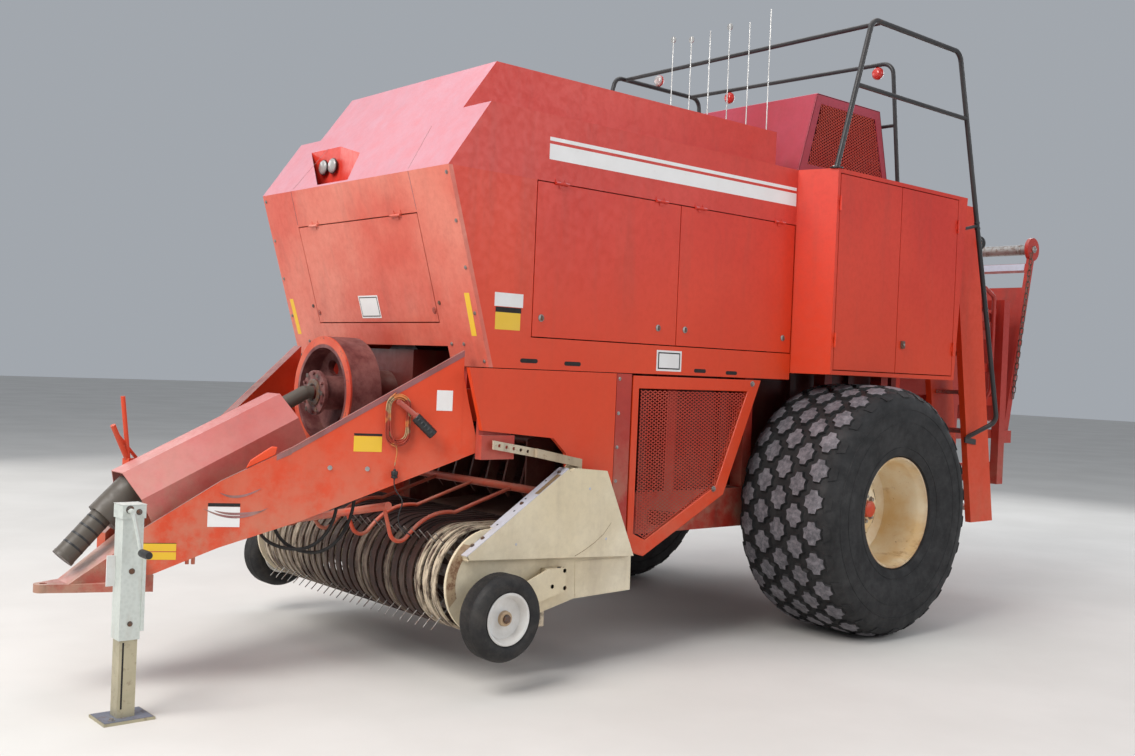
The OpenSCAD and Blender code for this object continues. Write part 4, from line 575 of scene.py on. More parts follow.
def expanded_metal(shape, outline, y, side):
    """Diamonds of slit and stretched sheet over an (x, z) outline, at a distance from the centre plane."""
    x0, x1 = min(q[0] for q in outline), max(q[0] for q in outline)
    z0, z1 = min(q[1] for q in outline), max(q[1] for q in outline)
    w = Vector((0, side, 0)) * MESH_THICK
    for j in range(int((z1 - z0) / MESH_Z) + 1):
        for i in range(int((x1 - x0) / MESH_X) + 2):
            a = (x0 + (i + (j % 2) / 2) * MESH_X, z0 + j * MESH_Z)
            for turn in (-1, 1):
                b = (a[0] + turn * MESH_X / 2, a[1] + MESH_Z)
                if inside(a, outline) and inside(b, outline):
                    pa, pb = at(a[0], side * y, a[1]), at(b[0], side * y, b[1])
                    n = (pb - pa).normalized().cross(Vector((0, 1, 0))) * MESH_WIDE / 2
                    base = [pa - n, pa + n, pb + n, pb - n]
                    shape.put(base + [q + w for q in base], [(4, 5, 6, 7), (0, 1, 5, 4), (2, 3, 7, 6), (3, 2, 1, 0)])


def frame_ring(shape, outer, inner, y0, y1, side):
    """A flat frame between two (x, z) outlines with the same number of corners."""
    n = len(outer)
    verts = [at(x, side * y, z) for y in (y0, y1) for ring in (outer, inner) for x, z in ring]
    faces = []
    for i in range(n):
        j = (i + 1) % n
        faces += [(i, j, n + j, n + i), (2 * n + i, 3 * n + i, 3 * n + j, 2 * n + j), (i, 2 * n + i, 2 * n + j, j),
                  (n + i, n + j, 3 * n + j, 3 * n + i)]
    shape.put(verts, faces)


def edge(o, width=0.003):
    """Rounds a piece's sharp edges a little, so that they catch light as folded sheet does."""
    m = o.modifiers.new("edge", "BEVEL")
    m.width = width
    m.segments = 2
    m.limit_method = "ANGLE"
    m.angle_limit = math.radians(35)
    return o


def arc(c, r, a0, a1, n):
    """Points of an arc about c, from one angle to another in degrees."""
    turns = [math.radians(a0 + (a1 - a0) * i / n) for i in range(n + 1)]
    return [(c[0] + r * math.cos(t), c[1] + r * math.sin(t)) for t in turns]


def rect(x0, z0, x1, z1):
    return [(x0, z0), (x1, z0), (x1, z1), (x0, z1)]


for name, o in NODES.items():
    if name.startswith(("hood", "nose", "front_door", "side_", "lower_panel", "twine_", "tongue_", "drive_shield",
                        "pickup_frame", "jack_tube", "jack_leg", "hitch", "gearbox", "deck")):
        edge(o)


# ---- hoses and wires
TURN = math.atan2(0.705, 1.385)  # how far the tongue plates turn inwards
REAR_X, REAR_Y = 2.905, 0.870  # rear edge of their outer faces


def tongue(along, off, z, side=1):
    """A point by a tongue plate: along its outer face from its rear edge, off that face, and height."""
    return at(REAR_X + along * math.cos(TURN) + off * math.sin(TURN),
              side * (REAR_Y - along * math.sin(TURN) + off * math.cos(TURN)), z)


def strand(name, points, diameter, mat):
    """A round curve through the points, and the length from point to point."""
    data = bpy.data.curves.new(name, "CURVE")
    data.dimensions = "3D"
    data.bevel_depth = diameter / 2
    data.bevel_resolution = 3
    data.resolution_u = 4
    data.use_fill_caps = True
    line = data.splines.new("BEZIER")
    line.bezier_points.add(len(points) - 1)
    for p, place in zip(line.bezier_points, points):
        p.co = place
        p.handle_left_type = p.handle_right_type = "AUTO"
    data.materials.append(MATS[mat])
    o = bpy.data.objects.new(name, data)
    bpy.context.scene.collection.objects.link(o)
    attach(o, "machine")
    return o, round(sum((b - a).length for a, b in zip(points, points[1:])), 3)


def hose_route(ends, low, off):
    """Straight out of one fitting, round a half ellipse down to low, and into the other fitting."""
    (x0, z0), (x1, z1) = ends
    mid = (x0 + x1) / 2
    route = [(x0, z0)]
    steps = 24
    for k in range(steps + 1):
        t = math.pi * k / steps
        end = (z0 if k < steps / 2 else z1) - 0.010
        route.append((mid + (x0 - mid) * math.cos(t), end - (end - low) * math.sin(t)))
    return [tongue(a, off, z) for a, z in route + [(x1, z1)]]


for name, ends, low, off in (("front", ((0.948, 0.770), (0.586, 0.900)), 0.655, -0.076),
                             ("rear", ((0.880, 0.800), (0.500, 0.940)), 0.635, -0.104)):
    route = hose_route(ends, low, off)
    o, length = strand(f"hydraulic_hose_{name}", route, 0.017, "hose")
    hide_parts(f"hose_{name}")


def hank_route():
    """Out of the plate, nine and a half turns inwards round the lever's root, and down to the plug."""
    route = [(0.330, 0.000, 1.4305), (0.330, 0.006, 1.4305), (0.3302, 0.0115, 1.4303), (0.3315, 0.0172, 1.4292),
             (0.3350, 0.0222, 1.4265), (0.3405, 0.0258, 1.4215), (0.3475, 0.0278, 1.4140), (0.3555, 0.0285, 1.4050)]
    stops = [(a, 1) for a in (0, 30, 60, 90)] + [(90, 0.5)] + [(a, 0) for a in range(90, 271, 30)]
    stops += [(270, 0.5)] + [(a, 1) for a in (270, 300, 330)]
    # turn, radius and distance off the plate
    plan = [(0.0, 0.0585, 0.0285), (2.0, 0.0585, 0.0135), (2.5, 0.0518, 0.0135), (4.5, 0.0518, 0.0285),
            (5.0, 0.0451, 0.0285), (7.0, 0.0451, 0.0135), (7.5, 0.0384, 0.0135), (9.2, 0.0384, 0.0285)]
    for k in range(9 * 16 + 3):
        turn = k / 16
        radius, off = (float(np.interp(turn, [q[0] for q in plan], [q[c] for q in plan])) for c in (1, 2))
        angle, share = stops[(k + 2) % 16]
        low = 1.240 - (radius - 0.0384) * 0.5
        a = math.radians(angle)
        route.append((0.315 + radius * math.sin(a), off, low + share * (1.365 - low) + radius * math.cos(a)))
    route += [(0.3536, 0.0300, 1.285), (0.3530, 0.0330, 1.268), (0.3505, 0.0355, 1.250), (0.3460, 0.0370, 1.232),
              (0.3400, 0.0372, 1.214), (0.3330, 0.0368, 1.197), (0.3260, 0.0355, 1.181), (0.3200, 0.0325, 1.166),
              (0.3165, 0.0285, 1.151), (0.3157, 0.0248, 1.141)]
    route += [(a, 0.023, z) for a, z in ((0.316, 1.132), (0.318, 1.118), (0.320, 1.104), (0.322, 1.090),
                                         (0.323, 1.076), (0.323, 1.062))]
    return [tongue(*p) for p in route]


LEAD = [(0.323, 1.010), (0.323, 0.996), (0.321, 0.982), (0.317, 0.968), (0.311, 0.955), (0.303, 0.943),
        (0.294, 0.932), (0.286, 0.921), (0.281, 0.908), (0.280, 0.894), (0.283, 0.880), (0.288, 0.866),
        (0.292, 0.852), (0.295, 0.838), (0.296, 0.824), (0.295, 0.810), (0.291, 0.797), (0.285, 0.784),
        (0.276, 0.773), (0.265, 0.763), (0.253, 0.754), (0.241, 0.746), (0.229, 0.739)]
plug = Shape()
plug.lathe([(0.0, 0.0), (0.0045, 0.0), (0.0065, -0.004), (0.0065, -0.009), (0.0150, -0.011), (0.0165, -0.014),
            (0.0165, -0.030), (0.0145, -0.032), (0.0145, -0.036), (0.0165, -0.038), (0.0165, -0.043),
            (0.0120, -0.046), (0.0060, -0.047), (0.0045, -0.052), (0.0, -0.052)],
           tongue(0.323, 0.023, 1.062), (0, 0, 1), 20)
plug = plug.done("wire_plug_shell", ("black_plastic",), "machine", 35)
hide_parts("wire_plug")
route = hank_route()
o, length = strand("wire_hank_loops", route, 0.006, "wire")
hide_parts("wire_hank", "wire_tail")
route = [tongue(a, 0.023, z) for a, z in LEAD]
o, length = strand("wire_lead_loose", route, 0.006, "black_plastic")
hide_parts("wire_lead")


# ---- main tyres
TYRE_R, TYRE_HALF, TRACK_Y = 0.780, 0.3553, 1.1447
BLOCKS = 26
BLOCK_LONG, BLOCK_WIDE = 0.150, 0.118
# Half section of the carcass under the tread blocks: radius, distance from the middle plane
CARCASS = [(0.3432, 0.290), (0.352, 0.318), (0.385, 0.330), (0.440, 0.341), (0.520, 0.352), (0.600, 0.355),
           (0.660, 0.351), (0.705, 0.338), (0.733, 0.314), (0.748, 0.280), (0.757, 0.220), (0.762, 0.120),
           (0.763, 0.0)]


def crown(off):
    """Radius over the blocks at a distance from the middle plane."""
    return float(np.interp(abs(off), (0.0, 0.155, 0.245, 0.310, 0.345), (0.780, 0.780, 0.772, 0.747, 0.712)))


def tread_block(shape, y, angle, off):
    """A block of the tread: a long hexagon with notched ends, sunk a little into the carcass."""
    half = [(-0.50, 0.18), (-0.30, 0.24), (-0.20, 0.50), (0.0, 0.44), (0.20, 0.50), (0.30, 0.24), (0.50, 0.18)]
    outline = half + [(-a, -b) for a, b in half]
    rings = []
    for grow, lift in ((1.08, -0.024), (0.92, 0.0)):
        ring = []
        for a, b in outline:
            o = off + b * BLOCK_WIDE * grow
            r = crown(o) + lift
            t = angle + a * BLOCK_LONG * grow / TYRE_R
            ring.append(Vector((r * math.sin(t), y + o, r * math.cos(t) + TYRE_R)))
        rings.append(ring)
    n = len(outline)
    mid_r = crown(off)
    cap = Vector((mid_r * math.sin(angle), y + off, mid_r * math.cos(angle) + TYRE_R))
    shape.put(rings[0] + rings[1] + [cap], [(i, (i + 1) % n, n + (i + 1) % n, n + i) for i in range(n)]
              + [(n + i, n + (i + 1) % n, 2 * n) for i in range(n)], [0] * n + [1] * n)


def main_tyre(side, name):
    s = Shape()
    y = side * TRACK_Y
    place, axle = (0, y, TYRE_R), (0, 1, 0)  # from the axle, until the last step
    s.lathe(CARCASS + [(r, -a) for r, a in reversed(CARCASS[:-1])], place, axle, 96)
    # bead ring and two moulded ribs on each wall
    for face in (1, -1):
        for r, w in ((0.405, 0.006), (0.560, 0.004), (0.640, 0.005)):
            off = np.interp(r, [p[0] for p in CARCASS[:8]], [p[1] for p in CARCASS[:8]])
            ring = [(r - w, face * (off - 0.004)), (r - w * 0.5, face * (off + 0.0025)),
                    (r + w * 0.5, face * (off + 0.0025)), (r + w, face * (off - 0.004))]
            s.lathe([(a, min(max(b, -TYRE_HALF), TYRE_HALF)) for a, b in ring], place, axle, 96)
    step = 2 * math.pi / BLOCKS
    for k, off in enumerate((0.0, 0.122, 0.244)):
        for face in ((1, -1) if off else (1,)):
            for i in range(BLOCKS):
                tread_block(s, y, (i + (k % 2) / 2) * step, face * off)
    # low ribs run from the outer row down the wall
    for face in (1, -1):
        for i in range(BLOCKS):
            low, top = [], []
            for t, r, off in ((-0.5, 0.745, 0.300), (-0.30, 0.716, 0.333), (0.30, 0.716, 0.333), (0.5, 0.745, 0.300)):
                a = i * step + t * 0.110 / TYRE_R
                for ring, drop, out in ((low, 0.02, -0.012), (top, 0.0, 0.007)):
                    ring.append(Vector(((r - drop) * math.sin(a), y + face * min(off + out, 0.352),
                                        (r - drop) * math.cos(a) + TYRE_R)))
            s.put(low + top, [(k, (k + 1) % 4, 4 + (k + 1) % 4, 4 + k) for k in range(4)] + [(4, 5, 6, 7)])
    s.v = [at(*p) for p in s.v]
    o = s.done(f"tyre_tread_{name}", ("tyre", "tread"), f"wheel_{name}", 34)
    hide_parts(f"main_tyre_{name}")


# ---- wheels' small parts
def wheel_bolts(side, name):
    """Eight nuts round the hub cap, and the disc's oval windows as flat dark ovals of painted shade."""
    s = Shape()
    face = side * 1.2202
    for a in circle(8):
        s.bolt(at(0.078 * math.cos(a), face, TYRE_R + 0.078 * math.sin(a)), (0, side, 0), 0.013, 0.016)
    s.lathe([(0.0, 0.052), (0.035, 0.050), (0.050, 0.040), (0.055, 0.0)], at(0, face, TYRE_R), (0, side, 0), 32, 1)
    # Painted shade: a flat dark oval stands in for each window's hole.
    for a in circle(8, 0.5):
        out = Vector((0.588 * math.cos(a), side * 0.809, 0.588 * math.sin(a)))
        turn = Vector((-math.sin(a), 0, math.cos(a)))
        place = at(0.197 * math.cos(a), side * 1.1586, TYRE_R + 0.197 * math.sin(a)) + out * 0.0005
        s.prism([(0.036 * math.cos(t), 0.021 * math.sin(t)) for t in circle(20)],
                0.0015 * side, place, turn, out.cross(turn) * side, 2)
    s.done(f"wheel_bolts_{name}", ("steel", "tongue", "dark"), f"wheel_{name}", 40)


def gauge(side, name):
    """Gauge wheel: smooth tyre with ribs on a white dished rim, and its hub nut."""
    s = Shape()
    c, axle = at(2.820, side * 1.130, 0.373), (0, 1, 0)
    tyre = [(0.118, 0.040), (0.124, 0.058), (0.140, 0.070), (0.160, 0.0745), (0.184, 0.071), (0.200, 0.058),
            (0.2065, 0.042)]
    ribs = []
    for k in range(-4, 5):
        o = k * 0.0088
        ribs += [(0.2110, o + 0.0030), (0.2110, o - 0.0030), (0.2075, o - 0.0037), (0.2075, o - 0.0051)]
    profile = tyre + sorted(ribs, key=lambda p: -p[1]) + [(r, -a) for r, a in reversed(tyre)]
    s.lathe(profile, c, axle, 64)
    dish = [(0.128, 0.066), (0.124, 0.070), (0.116, 0.068), (0.108, 0.052), (0.098, 0.028), (0.060, 0.018),
            (0.045, 0.022), (0.038, 0.030)]
    for face in (1, -1):
        s.lathe([(r, face * a) for r, a in dish], c, axle, 64, 1)
        s.lathe([(r, face * a) for r, a in ((0.038, 0.030), (0.036, 0.046), (0.026, 0.050), (0.022, 0.050))],
                c, axle, 24, 2)
    s.lathe([(r, side * a) for r, a in ((0.022, 0.050), (0.022, 0.058), (0.013, 0.066), (0.0, 0.066))], c, axle, 6, 3)
    o = s.done(f"gauge_tyre_{name}", ("gauge", "white", "rusted", "dark_steel"), f"gauge_wheel_{name}", 38)
    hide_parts(f"gauge_wheel_{name}")


# ---- stripes, plates, latches
BODY_Y, BOX_Y = 0.953, 1.2  # outer faces of the side panels and twine boxes


def panel(shape, side, outline, y=BODY_Y, lift=0.0007, mat=0):
    """A flat decal on a side panel: (x, z) outline from the axle."""
    pts = outline if side > 0 else outline[::-1]
    shape.slab(*([at(x, side * (y + h), z) for x, z in pts] for h in (lift, 0.0001)), mat)


def handle(shape, side, x0, x1, y, deep, z0, z1, mat):
    """A box that stands out from a side by deep."""
    shape.box(at(x0, side * y + min(0, side * deep), z0), at(x1, side * y + max(0, side * deep), z1), mat)


for side, name in SIDES:
    s = Shape()
    panel(s, side, rect(0.485, 2.741, 2.485, 2.760))
    panel(s, side, rect(0.485, 2.646, 2.485, 2.725))
    s.done(f"stripes_{name}", ("stripe",), "machine")
    s = Shape()
    for outline, lift, mat in (((2.618, 1.877, 2.798, 1.945), 0.0007, 0), ((2.628, 1.848, 2.790, 1.874), 0.0007, 2),
                               ((2.632, 1.762, 2.790, 1.848), 0.0007, 1), ((1.451, 1.591, 1.651, 1.707), 0.0007, 0),
                               ((1.463, 1.602, 1.639, 1.696), 0.0011, 2), ((1.471, 1.609, 1.631, 1.689), 0.0015, 0)):
        panel(s, side, rect(*outline), lift=lift, mat=mat)
    s.done(f"plates_{name}", ("plate", "yellow", "dark"), "machine")
    # slots in the sill under the doors, as flat dark shapes of painted shade, and the latches of the doors
    s = Shape()
    for x, z, w in ((2.564, 1.613, 0.115), (2.270, 1.608, 0.115), (1.293, 1.601, 0.100), (1.020, 1.597, 0.100)):
        ends = arc((x + w / 2 - 0.011, z), 0.011, -90, 90, 6) + arc((x - w / 2 + 0.011, z), 0.011, 90, 270, 6)
        panel(s, side, ends, lift=0.0006)
    s.done(f"sill_slot_shades_{name}", ("dark",), "machine")
    for door, places in (("front", ((2.497, 1.834), (1.650, 1.829))), ("rear", ((1.433, 1.830), (0.560, 1.826)))):
        s = Shape()
        for x, z in places:
            s.lathe([(0.019, 0.0), (0.019, 0.003), (0.016, 0.005), (0.0, 0.005)], at(x, side * BODY_Y, z),
                    (0, side, 0), 20)
            handle(s, side, x - 0.004, x + 0.004, BODY_Y, 0.011, z - 0.013, z + 0.013, 1)
        s.done(f"door_latches_{name}_{door}", ("steel", "dark_steel"), f"side_door_{name}_{door}", 40)
    s = Shape()
    z = 1.828
    handle(s, side, -0.372, -0.340, BOX_Y, 0.014, z - 0.024, z + 0.024, 0)
    s.lathe([(0.009, 0.014), (0.009, 0.020), (0.0, 0.021)], at(-0.356, side * BOX_Y, z), (0, side, 0), 16, 1)
    s.done(f"twine_latches_{name}", ("dark_steel", "steel"), f"twine_door_{name}_rear", 40)
    main_tyre(side, name)
    wheel_bolts(side, name)
    gauge(side, name)


# ---- mesh guards and fan windows
GUARD_OUT = [(1.822, 1.560), (0.745, 1.560), (1.045, 0.880), (1.690, 0.560), (1.822, 0.600)]
GUARD_IN = [(1.775, 1.490), (0.865, 1.490), (1.112, 0.932), (1.680, 0.650), (1.775, 0.690)]
WINDOW = [(0.0, 3.010), (-0.120, 3.430), (-0.740, 3.430), (-0.860, 3.010)]
FAN = [(0.121, 2.873), (-0.074, 3.497), (-0.793, 3.497), (-0.952, 2.873)]
s = Shape()
for side, _ in SIDES:
    frame_ring(s, FAN, WINDOW, 0.638, 0.650, side)
walls = [Vector((x, 0, z)) for x, z in FAN]
for a, b in zip(walls, walls[1:]):
    along = b - a
    s.prism(rect(0, -0.650, along.length, 0.650), 0.012, at(a.x, 0, a.z), along.normalized(), (0, 1, 0))
o = edge(s.done("fan_housing_shell", ("fan",), "machine"), 0.004)
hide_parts("fan_housing")
s = Shape()
for side, _ in SIDES:
    expanded_metal(s, WINDOW, 0.645, side)
s.done("fan_window_mesh", ("net",), "machine")
for side, name in SIDES:
    s = Shape()
    frame_ring(s, GUARD_OUT, GUARD_IN, 0.913, BODY_Y, side)
    o = edge(s.done(f"guard_frame_{name}", ("body",), "machine"), 0.004)
    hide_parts(f"mesh_guard_{name}")
    s = Shape()
    expanded_metal(s, GUARD_IN, 0.946, side)
    s.done(f"guard_mesh_{name}", ("net",), "machine")
    s = Shape()
    for x, z in ((0.826, 1.537), (1.135, 0.915)):
        s.bolt(at(x, side * BODY_Y, z), (0, side, 0), 0.012, 0.009)
    s.done(f"guard_bolts_{name}", ("steel",), "machine", 40)
    s = Shape()
    bolt_row(s, "chassis", [at(1.926, side * 1.3, z) for z in (1.539, 1.352, 1.168, 0.985)], (0, -side, 0),
             0.007, 0.005)
    s.done(f"panel_bolts_{name}", ("steel", "body"), "machine", 40)


# ---- nose
def on_front(node, y, z):
    """Where a line from ahead meets a node, and the face's direction."""
    return seat(node, at(4.0, y, z), (-1, 0, 0))


def on_nose(shape, node, corners, lift, mat):
    """A flat decal on the nose, with its (y, z) corners seated on the node."""
    pts = [on_front(node, y, z) for y, z in corners]
    out = pts[0][1]
    shape.slab(*([q + out * h for q, _ in pts] for h in (lift, 0.0001)), mat)


def nose_bolts(shape, node, places, r=0.007, mat=0):
    for y, z in places:
        place, out = on_front(node, y, z)
        shape.bolt(place, out, r, 0.005, mat)


s = Shape()
for inset, lift, mat in ((0.0, 0.0010, 0), (0.008, 0.0014, 1), (0.013, 0.0018, 0)):
    on_nose(s, "front_door", rect(-0.124 + inset, 1.815 + inset, 0.074 - inset, 1.936 - inset), lift, mat)
s.done("front_plate", ("plate", "dark"), "front_door")
s = Shape()
nose_bolts(s, "front_door", [(side * 0.588, 1.850) for side, _ in SIDES], 0.012)
s.done("front_door_latches", ("hitch",), "front_door", 40)
s = Shape()
for side, _ in SIDES:
    nose_bolts(s, "nose_panel", [(side * 0.926, z) for z in (1.600, 1.834, 2.052, 2.273, 2.497)])
    nose_bolts(s, "nose_panel", [(side * 0.784, 1.683), (side * 0.680, 1.683)])
    nose_bolts(s, "nose_panel", [(side * 0.644, 1.888)], 0.008, 1)
    # yellow plate, and a seam that goes on up the hood's slope
    for corners, lift, mat in ((((0.871, 1.932), (0.912, 1.932), (0.905, 1.724), (0.864, 1.724)), 0.0010, 2),
                               (((0.6035, 2.531), (0.6075, 2.531), (0.6135, 2.345), (0.6095, 2.345)), 0.0006, 3)):
        on_nose(s, "nose_panel", [(side * y, z) for y, z in corners], lift, mat)
    seam = [on_front("hood", side * (0.594 - 0.068 * t), 2.545 + 0.25 * t) for t in (0, 0.5, 1)]
    for (a, out), (b, _) in zip(seam, seam[1:]):
        wide = (b - a).cross(out).normalized() * 0.002
        s.slab(*([q + out * h for q in (a - wide, a + wide, b + wide, b - wide)] for h in (0.0006, 0.0001)), 3)
s.done("nose_details", ("steel", "dark_steel", "yellow", "flange"), "machine", 40)


# ---- lamps
LADDER_SLOPE = 0.179


def ladder_x(z):
    """The ladder's front line at a height."""
    return -1.320 - (2.260 - z) * LADDER_SLOPE


def lamp(shape, place, way, r, length, lens, case=0):
    """A round lamp: dark case and domed lens, with profiles in shares of its radius and length."""
    shell = ((0.0, 0.0), (0.55, 0.0), (0.72, 0.10), (0.98, 0.38), (1.0, 0.42), (1.0, 0.62), (0.95, 0.66), (0.92, 0.64))
    dome = ((0.93, 0.60), (0.93, 0.70), (0.86, 0.84), (0.6, 0.95), (0.0, 1.0))
    for profile, mat in ((shell, case), (dome, lens)):
        shape.lathe([(r * a, length * b) for a, b in profile], place, way, 28, mat)


s = Shape()
lamp(s, at(-0.420, -1.172, 3.9173), (1, 0, 0), 0.045, 0.060, 3, 2)
for x, y in ((-0.786, -0.770), (-0.872, 0.560)):
    lamp(s, at(x + 0.030, y, 3.7947), (-1, 0, 0), 0.045, 0.060, 3, 2)
lean = math.atan(LADDER_SLOPE)
back = Vector((-math.cos(lean), 0, math.sin(lean)))
rear = at(ladder_x(2.620) - 0.300, 0.9925, 2.620)
lamp(s, rear + back * 0.020, back, 0.052, 0.045, 1)
lamp(s, rear + back * 0.028, -back, 0.052, 0.045, 1)
for y in (-0.534, -0.430):
    lamp(s, at(2.925, y, 2.684), (1, 0, 0), 0.045, 0.035, 3)
o = s.done("lamp_set", ("black_plastic", "amber", "red_lens", "clear_lens"), "machine", 40)
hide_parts("lamps")


# ---- pickup
# The sloping flange of the end shields, from its front end to its rear end, and the strip that stands on it
FLANGE = (Vector((2.950, 0, 0.640)), Vector((2.290, 0, 1.070)))
SPAN = (FLANGE[1] - FLANGE[0]).length
ALONG = (FLANGE[1] - FLANGE[0]).normalized()
OUT = Vector((ALONG.z, 0, -ALONG.x))
RISE, SHEET, STRIP_Y = 0.0235, 0.003, 1.0298
SHIELD_Y, PLATE_Y = 1.030, 0.980  # outer faces of the shields and of their end plates


def on_flange(side, share, y, lift):
    """A point by the flange: share of its length, distance from the centre plane, and height over it."""
    q = FLANGE[0] + ALONG * SPAN * share + OUT * lift
    return at(q.x, side * y, q.z)


for side, name in SIDES:
    s = Shape()
    under = RISE - SHEET
    for corners, depth, mat in (
            # The strip's upward faces take the bluish white of a painted sky sheen. Its sides are cream.
            ([(a, y, RISE) for a, y in rect(0.004, 0.9805, 0.29, STRIP_Y)], OUT * -SHEET, 0),
            ([(a, y, RISE) for a, y in rect(0.29, 0.9560, 0.955, STRIP_Y)], OUT * -SHEET, 0),
            ([(a, STRIP_Y, h) for a, h in rect(0.004, under, 0.955, 0.0001)], Vector((0, side * -SHEET, 0)), 4),
            ([(0.004, y, h) for y, h in rect(0.9805, 0.0001, STRIP_Y, under)], ALONG * SHEET, 4),
            ([(a, y, RISE + 0.0008) for a, y in rect(0.66, 0.998, 0.88, 1.0292)], OUT * -0.001, 1)):
        front = [on_flange(side, *c) for c in corners]
        s.slab(front, [q + depth for q in front], mat)
    for share, y in ((0.10, 0.987), (0.18, 0.997), (0.55, 0.987), (0.90, 0.997)):
        s.bolt(on_flange(side, share, y, RISE), OUT, 0.008, 0.006, 2)
    # Flat dark discs on the strip: painted shade for its empty holes.
    for share, y in ((0.32, 0.990), (0.47, 0.996), (0.60, 0.976), (0.80, 0.972)):
        s.lathe([(0.006, 0.0), (0.006, 0.0007), (0.0, 0.0007)], on_flange(side, share, y, RISE), OUT, 12, 3)
    # rust on the end plate's rounded front
    inner, outer = arc((2.780, 0.515), 0.205, -18, 62, 10), arc((2.780, 0.515), 0.2585, -24, 50, 10)
    for quad in zip(inner, outer, outer[1:], inner[1:]):
        panel(s, side, quad, PLATE_Y, 0.0012, 5)
    # whiter plate behind the bracket, the bracket's slots as flat dark patches of painted shade, and the shield's own
    # bolts
    panel(s, side, [(2.211, 0.386), (1.812, 0.396), (1.815, 0.600), (1.842, 0.572), (2.221, 0.575)], PLATE_Y, 0.002, 4)
    for x, z, w, h in ((2.372, 0.535, 0.012, 0.030), (2.360, 0.470, 0.020, 0.014), (2.405, 0.520, 0.010, 0.010)):
        panel(s, side, rect(x - w, z - h, x + w, z + h), SHIELD_Y, 0.0012, 3)
    for x, z in ((2.340, 0.545), (2.335, 0.455), (2.420, 0.470)):
        s.bolt(at(x, side * SHIELD_Y, z), (0, side, 0), 0.012, 0.009, 2)
    for x, z in ((2.18, 0.96), (2.05, 0.69), (2.66, 0.70)):
        s.lathe([(0.007, 0.0), (0.006, 0.0016), (0.0, 0.0022)], at(x, side * SHIELD_Y, z), (0, side, 0), 14)
    # scratch that curves over the shield
    curve = [(2.267, 0.613), (2.200, 0.640), (2.131, 0.675), (2.070, 0.716), (2.016, 0.774)]
    low, high = ([(x, z + h) for x, z in curve] for h in (-0.0016, 0.0016))
    for quad in zip(high, high[1:], low[1:], low):
        panel(s, side, quad, SHIELD_Y, 0.0004, 1)
    s.done(f"pickup_trim_{name}", ("pale_blue_and_sky_sheen", "brown", "dark_steel", "dark", "cream", "rusted"), "pickup", 30)
    # ends of the lift arms' pins
    s = Shape()
    for x, z, r in ((2.010, 0.760, 0.024), (2.780, 0.515, 0.034)):
        s.lathe([(r, 0.0), (r, 0.006), (r * 0.8, 0.010), (0.0, 0.010)], at(x, side * 0.990, z), (0, side, 0), 24)
    s.done(f"pickup_pins_{name}", ("steel",), "pickup", 40)


# ---- tongue
def tongue_panel(shape, side, outline, lift=0.0008, mat=0, back=0.0001):
    """A flat (along, z) outline by a tongue plate, between two distances off its outer face."""
    shape.slab(*([tongue(a, h, z, side) for a, z in outline] for h in (lift, back)), mat)


TOP_LINE = [(0.0, 1.650), (0.810, 1.150), (1.130, 0.985), (1.554, 0.700)]
LIP_LINE = [(0.0, 1.650), (0.810, 1.150), (0.880, 1.114)]
SLANT = 1 / math.cos(TURN)  # length along a plate for each metre ahead
for side, name in SIDES:
    s = Shape()
    for x0, x1, z0, z1, mat in ((3.25, 3.37, 1.14, 1.215, 1), (3.25, 3.37, 1.217, 1.228, 2),
                                (2.95, 3.02, 1.35, 1.45, 0), (3.83, 3.96, 0.77, 0.865, 0),
                                (3.83, 3.96, 0.866, 0.882, 2), (4.08, 4.24, 0.655, 0.690, 1),
                                (4.08, 4.24, 0.690, 0.693, 2), (4.08, 4.24, 0.615, 0.650, 1)):
        tongue_panel(s, side, rect((x0 - REAR_X) * SLANT, z0, (x1 - REAR_X) * SLANT, z1), mat=mat)
    s.done(f"tongue_decals_{name}", ("plate", "yellow", "dark"), "machine")
    # worn strip along the folded top edge
    s = Shape()
    for (a, za), (b, zb) in zip(TOP_LINE, TOP_LINE[1:]):
        up = Vector((za - zb, b - a)).normalized()
        corners = ((a, -0.0495, za), (b, -0.0495, zb), (b, -0.003, zb), (a, -0.003, za))
        s.slab(*([tongue(q + up.x * h, off, z + up.y * h, side) for q, off, z in corners] for h in (0.0006, 0.0001)))
    s.done(f"tongue_top_{name}", ("flange",), "machine")
    # gusset from the plate's rear edge back to the sill
    s = Shape()
    tongue_panel(s, side, [(0.004, 1.560), (0.004, 1.1135), (-0.092, 1.1535), (-0.030, 1.400)], -0.001, back=-0.007)
    edge(s.done(f"tongue_gusset_{name}", ("tongue",), "machine"), 0.002)
    # lip under the folded edge, worn dark
    s = Shape()
    for (a, za), (b, zb) in zip(LIP_LINE, LIP_LINE[1:]):
        tongue_panel(s, side, [(a, za - 0.001), (a, za - 0.030), (b, zb - 0.026), (b, zb - 0.001)], 0.0012)
    s.done(f"tongue_lip_{name}", ("flange",), "machine")
    s = Shape()
    bolt_row(s, f"tongue_{name}", [tongue(a, 0.2, z, side) for a, z in ((0.63, 1.059), (0.452, 1.057))],
             tongue(0, 0, 0, side) - tongue(0, 0.2, 0, side), 0.008, 0.006)
    s.done(f"tongue_bolts_{name}", ("bright",), "machine", 40)


